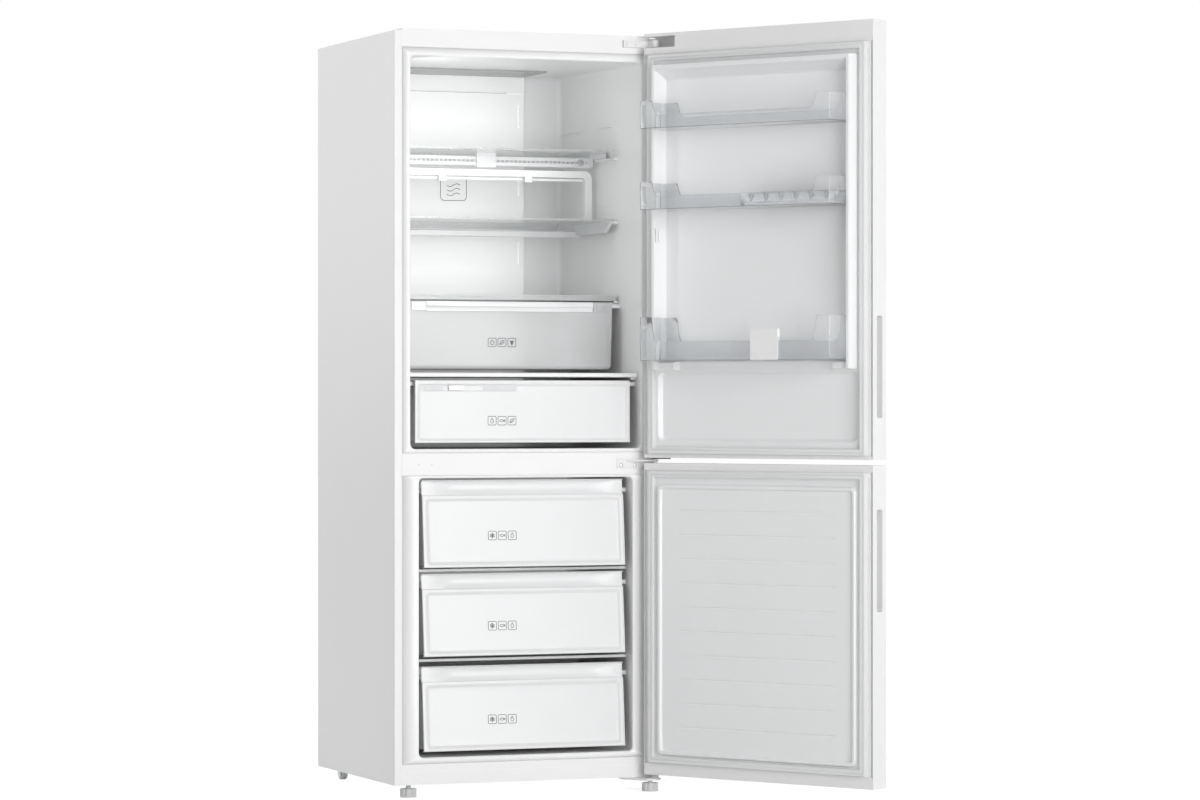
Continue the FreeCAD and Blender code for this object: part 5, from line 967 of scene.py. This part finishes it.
chiller_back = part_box("chiller_drawer")[1].y
code = bmesh.new()
across = turned_edges(-CHILLER_HALF, CHILLER_HALF, both(DISH_HALF), 0.0045, 0.01)
up = turned_edges(CHILLER_LOW, CHILLER_TOP, [DISH_LOW, DISH_HIGH, TRACK_LOW, TRACK_HIGH], 0.0045, 0.01)
net(code, across, up, lambda a, b: Vector((a[0], chiller_face(a[0], b[0]) + max(a[1], b[1]), b[0])))
shell(
    "chiller_front", code, milky_styrene, "clear_plastic", "chiller", "chiller_drawer",
    thickness=2.4 * MM, smooth=60,
)
code = bmesh.new()
half, floor_low = CHILLER_HALF - TUB_INSET, CHILLER_LOW + 0.5 * MM
moulded_tub(code, half, CHILLER_FRONT + 4.5 * MM, chiller_back, floor_low, CHILLER_TOP, 0.010)
side_lips(code, half, CHILLER_FRONT + TUB_INSET, chiller_back - LIP_INSET, CHILLER_TOP)
shell("chiller_tub", code, milky_styrene, "clear_plastic", "chiller", "chiller_drawer", thickness=1.1 * MM)
code = bmesh.new()
near = CHILLER_FRONT + FLAP_NEAR
for left, right in ((TRACK_LEFT + 2 * MM, TRACK_LEFT + 0.052), (TRACK_RIGHT - 0.092, TRACK_RIGHT - 2 * MM)):
    block(code, (left, near, TRACK_LOW + FLAP_MARGIN), (right, near + FLAP_THICK, TRACK_HIGH - FLAP_MARGIN))
shell("chiller_air_flap", code, track_grey, "clear_plastic", "chiller", edge=0.3 * MM)
food_signs(
    "chiller_signs", "chiller", "clear_plastic", -0.057, 0.932, (drop_sign, fish_sign, leaf_sign),
    lambda a, b: Vector((a, CHILLER_FRONT + DISH_DEEP - SIGN_PROUD, b)),
)

# ---------------------------------------------------------------- freezer drawers
# Milky white tubs; the front leans back towards a recessed grip band under a rolled lip, and its
# panel is dished within a frame. They slide on lips between two plates of glass.

BOX_HALF, BOX_FRONT, BOX_LEAN, BOX_BAND, BOX_RIM = 0.2695, -0.294, 0.015, 0.038, 0.020
BOX_DISH, BOX_FRAME = 3.6 * MM, 0.013


def freezer_box(name, node, low, high):
    """One drawer of the freezer: its front, its tub and its lips in one moulding."""
    top = high - BOX_BAND
    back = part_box(node)[1].y
    half = BOX_HALF - TUB_INSET
    panel_low, panel_high = low + 0.010, top - 0.012

    def face(z):
        """Where the front's plane is at a height."""
        return BOX_FRONT + BOX_LEAN * (z - low) / (top - low)

    # Rows of the skin from the foot up: a height, and how far back it is where the panel doesn't say.
    rows = [(low, face(low) + 7.5 * MM), (low, face(low) + 1.6 * MM), (low + 0.4 * MM, face(low) + 0.5 * MM)]
    heights = grid_lines(low + 1.6 * MM, top - 1.6 * MM, [panel_low, panel_high], 0.005, 0.02)
    rows += [(z, None) for z in heights]
    rows += [(top - 0.4 * MM, face(top) + 0.5 * MM), (top, face(top) + 1.6 * MM), (top, face(top) + 5 * MM)]
    rows += [(top + (BOX_BAND - 4 * MM) * k / 8, face(top) + (5 + 3 * k / 8) * MM) for k in range(1, 9)]
    rolled = [(3.2, 6.5), (2.4, 3), (1.0, 2.0), (0.1, 2.8), (0, 4.5), (0, 14)]
    rows += [(high - a * MM, face(top) + b * MM) for a, b in rolled]
    rows.append((high - BOX_RIM, face(top) + 14.2 * MM))
    across = turned_edges(-BOX_HALF, BOX_HALF, both(BOX_HALF - BOX_FRAME), 0.006, 0.025)

    def point(column, row):
        """A point of the front's skin."""
        (x, turned), (z, y) = column, row
        if y is None:
            sunk = plateau(x, z, BOX_HALF - BOX_FRAME, panel_low, panel_high, 0.006, 0.010)
            y = face(z) + BOX_DISH * sunk
        elif top < z < high - 4 * MM:
            y += 4 * MM * math.sin(math.pi * (z - top) / BOX_BAND) * ease((0.235 - abs(x)) / 0.03)
        return Vector((x, y + turned, z))

    code = bmesh.new()
    net(code, across, rows, point)
    shell(name + "_front", code, milky_styrene, "frosted_plastic", node, node, thickness=2.2 * MM, smooth=55)
    code = bmesh.new()
    moulded_tub(code, half, face(top) + 11 * MM, back, low, high - BOX_RIM, 0.012)
    side_lips(code, half, face(top) + 16 * MM, back - LIP_INSET, high - BOX_RIM)
    shell(name + "_tub", code, milky_styrene, "frosted_plastic", node, node, thickness=1.1 * MM)
    sign_z = low + 0.078 * (high - low) / 0.2175
    food_signs(
        name + "_signs", node, "frosted_plastic", -0.059, sign_z, (snow_sign, fish_sign, drop_sign),
        lambda a, b: Vector((a, face(b) + BOX_DISH - SIGN_PROUD, b)),
    )


freezer_box("top_box", "top_freezer_drawer", 0.5675, 0.785)
freezer_box("middle_box", "middle_freezer_drawer", 0.3469, 0.552)
freezer_box("bottom_box", "bottom_freezer_drawer", 0.1115, 0.322)

# ---------------------------------------------------------------- studio
# A pale floor, a white surround that the camera sees as plain white, and three soft lamps: one in
# front, one behind on the left and a small one just inside the opening.

WHITE_BEHIND = 1.0
SURROUND_LIGHT = 0.42
FLOOR_WHITENESS = 0.66


def seen_directly(nodes, links):
    """1 for rays from the camera, or by way of gloss or glass, and 0 for the light that falls on things."""
    path = nodes.new("ShaderNodeLightPath")
    total = nodes.new("ShaderNodeMath")
    total.operation = "ADD"
    links.new(path.outputs["Is Camera Ray"], total.inputs[0])
    links.new(path.outputs["Is Glossy Ray"], total.inputs[1])
    more = nodes.new("ShaderNodeMath")
    more.operation = "ADD"
    more.use_clamp = True
    links.new(total.outputs[0], more.inputs[0])
    links.new(path.outputs["Is Transmission Ray"], more.inputs[1])
    return more.outputs[0]


world = bpy.data.worlds.new("surround")
bpy.context.scene.world = world
world.use_nodes = True
nodes, links = world.node_tree.nodes, world.node_tree.links
level = nodes.new("ShaderNodeMapRange")
level.inputs["To Min"].default_value = SURROUND_LIGHT
level.inputs["To Max"].default_value = WHITE_BEHIND
links.new(seen_directly(nodes, links), level.inputs["Value"])
links.new(level.outputs["Result"], nodes["Background"].inputs["Strength"])
nodes["Background"].inputs["Color"].default_value = (1, 1, 1, 1)

code = bmesh.new()
bmesh.ops.create_grid(code, x_segments=2, y_segments=2, size=40)
mesh = bpy.data.meshes.new("studio_floor")
code.to_mesh(mesh)
code.free()
floor = bpy.data.objects.new("studio_floor", mesh)
bpy.context.scene.collection.objects.link(floor)
floor.location.z = -0.0005
paper = finish("floor_paper", (0.82, 0.82, 0.82), 0.9, drift=0.003)
nodes, links = paper.node_tree.nodes, paper.node_tree.links
shader = nodes["Principled BSDF"]
shader.inputs["Emission Color"].default_value = (1, 1, 1, 1)
lift = nodes.new("ShaderNodeMath")
lift.operation = "MULTIPLY"
lift.inputs[1].default_value = FLOOR_WHITENESS
links.new(seen_directly(nodes, links), lift.inputs[0])
links.new(lift.outputs[0], shader.inputs["Emission Strength"])
mesh.materials.append(paper)


def soft_lamp(name, place, aim, size, power, tall=None):
    """A soft lamp, square unless it is given its own height, that looks at a point."""
    light = bpy.data.lights.new(name, "AREA")
    light.size = size
    if tall:
        light.shape = "RECTANGLE"
        light.size_y = tall
    light.energy = power
    lamp = bpy.data.objects.new(name, light)
    bpy.context.scene.collection.objects.link(lamp)
    lamp.location = place
    lamp.rotation_euler = (Vector(aim) - Vector(place)).to_track_quat("-Z", "Y").to_euler()


soft_lamp("front_lamp", (0.72, -5.9, 1.6), (0.0, -0.3, 0.95), 3.0, 168)
soft_lamp("left_lamp", (-4.0, 4.7, 2.5), (0.0, 0.0, 1.0), 3.0, 100)
soft_lamp("inside_lamp", (-0.285, -0.265, 1.55), (0.31, 0.05, 1.50), 0.08, 0.65, tall=0.5)

# ---------------------------------------------------------------- camera
# Level, at 0.98 m, about ten metres off and to the left, through a long lens as in the photograph.

camera_data = bpy.data.cameras.new("camera")
camera_data.sensor_width = 36
camera_data.lens = 125.694
camera_data.clip_end = 100
camera = bpy.data.objects.new("camera", camera_data)
bpy.context.scene.collection.objects.link(camera)
camera.location = (-3.75235, -10.07769, 0.98371)
camera.rotation_euler = (math.radians(90), 0, math.radians(-21.9976))
bpy.context.scene.camera = camera
bpy.context.scene.view_settings.view_transform = "Standard"
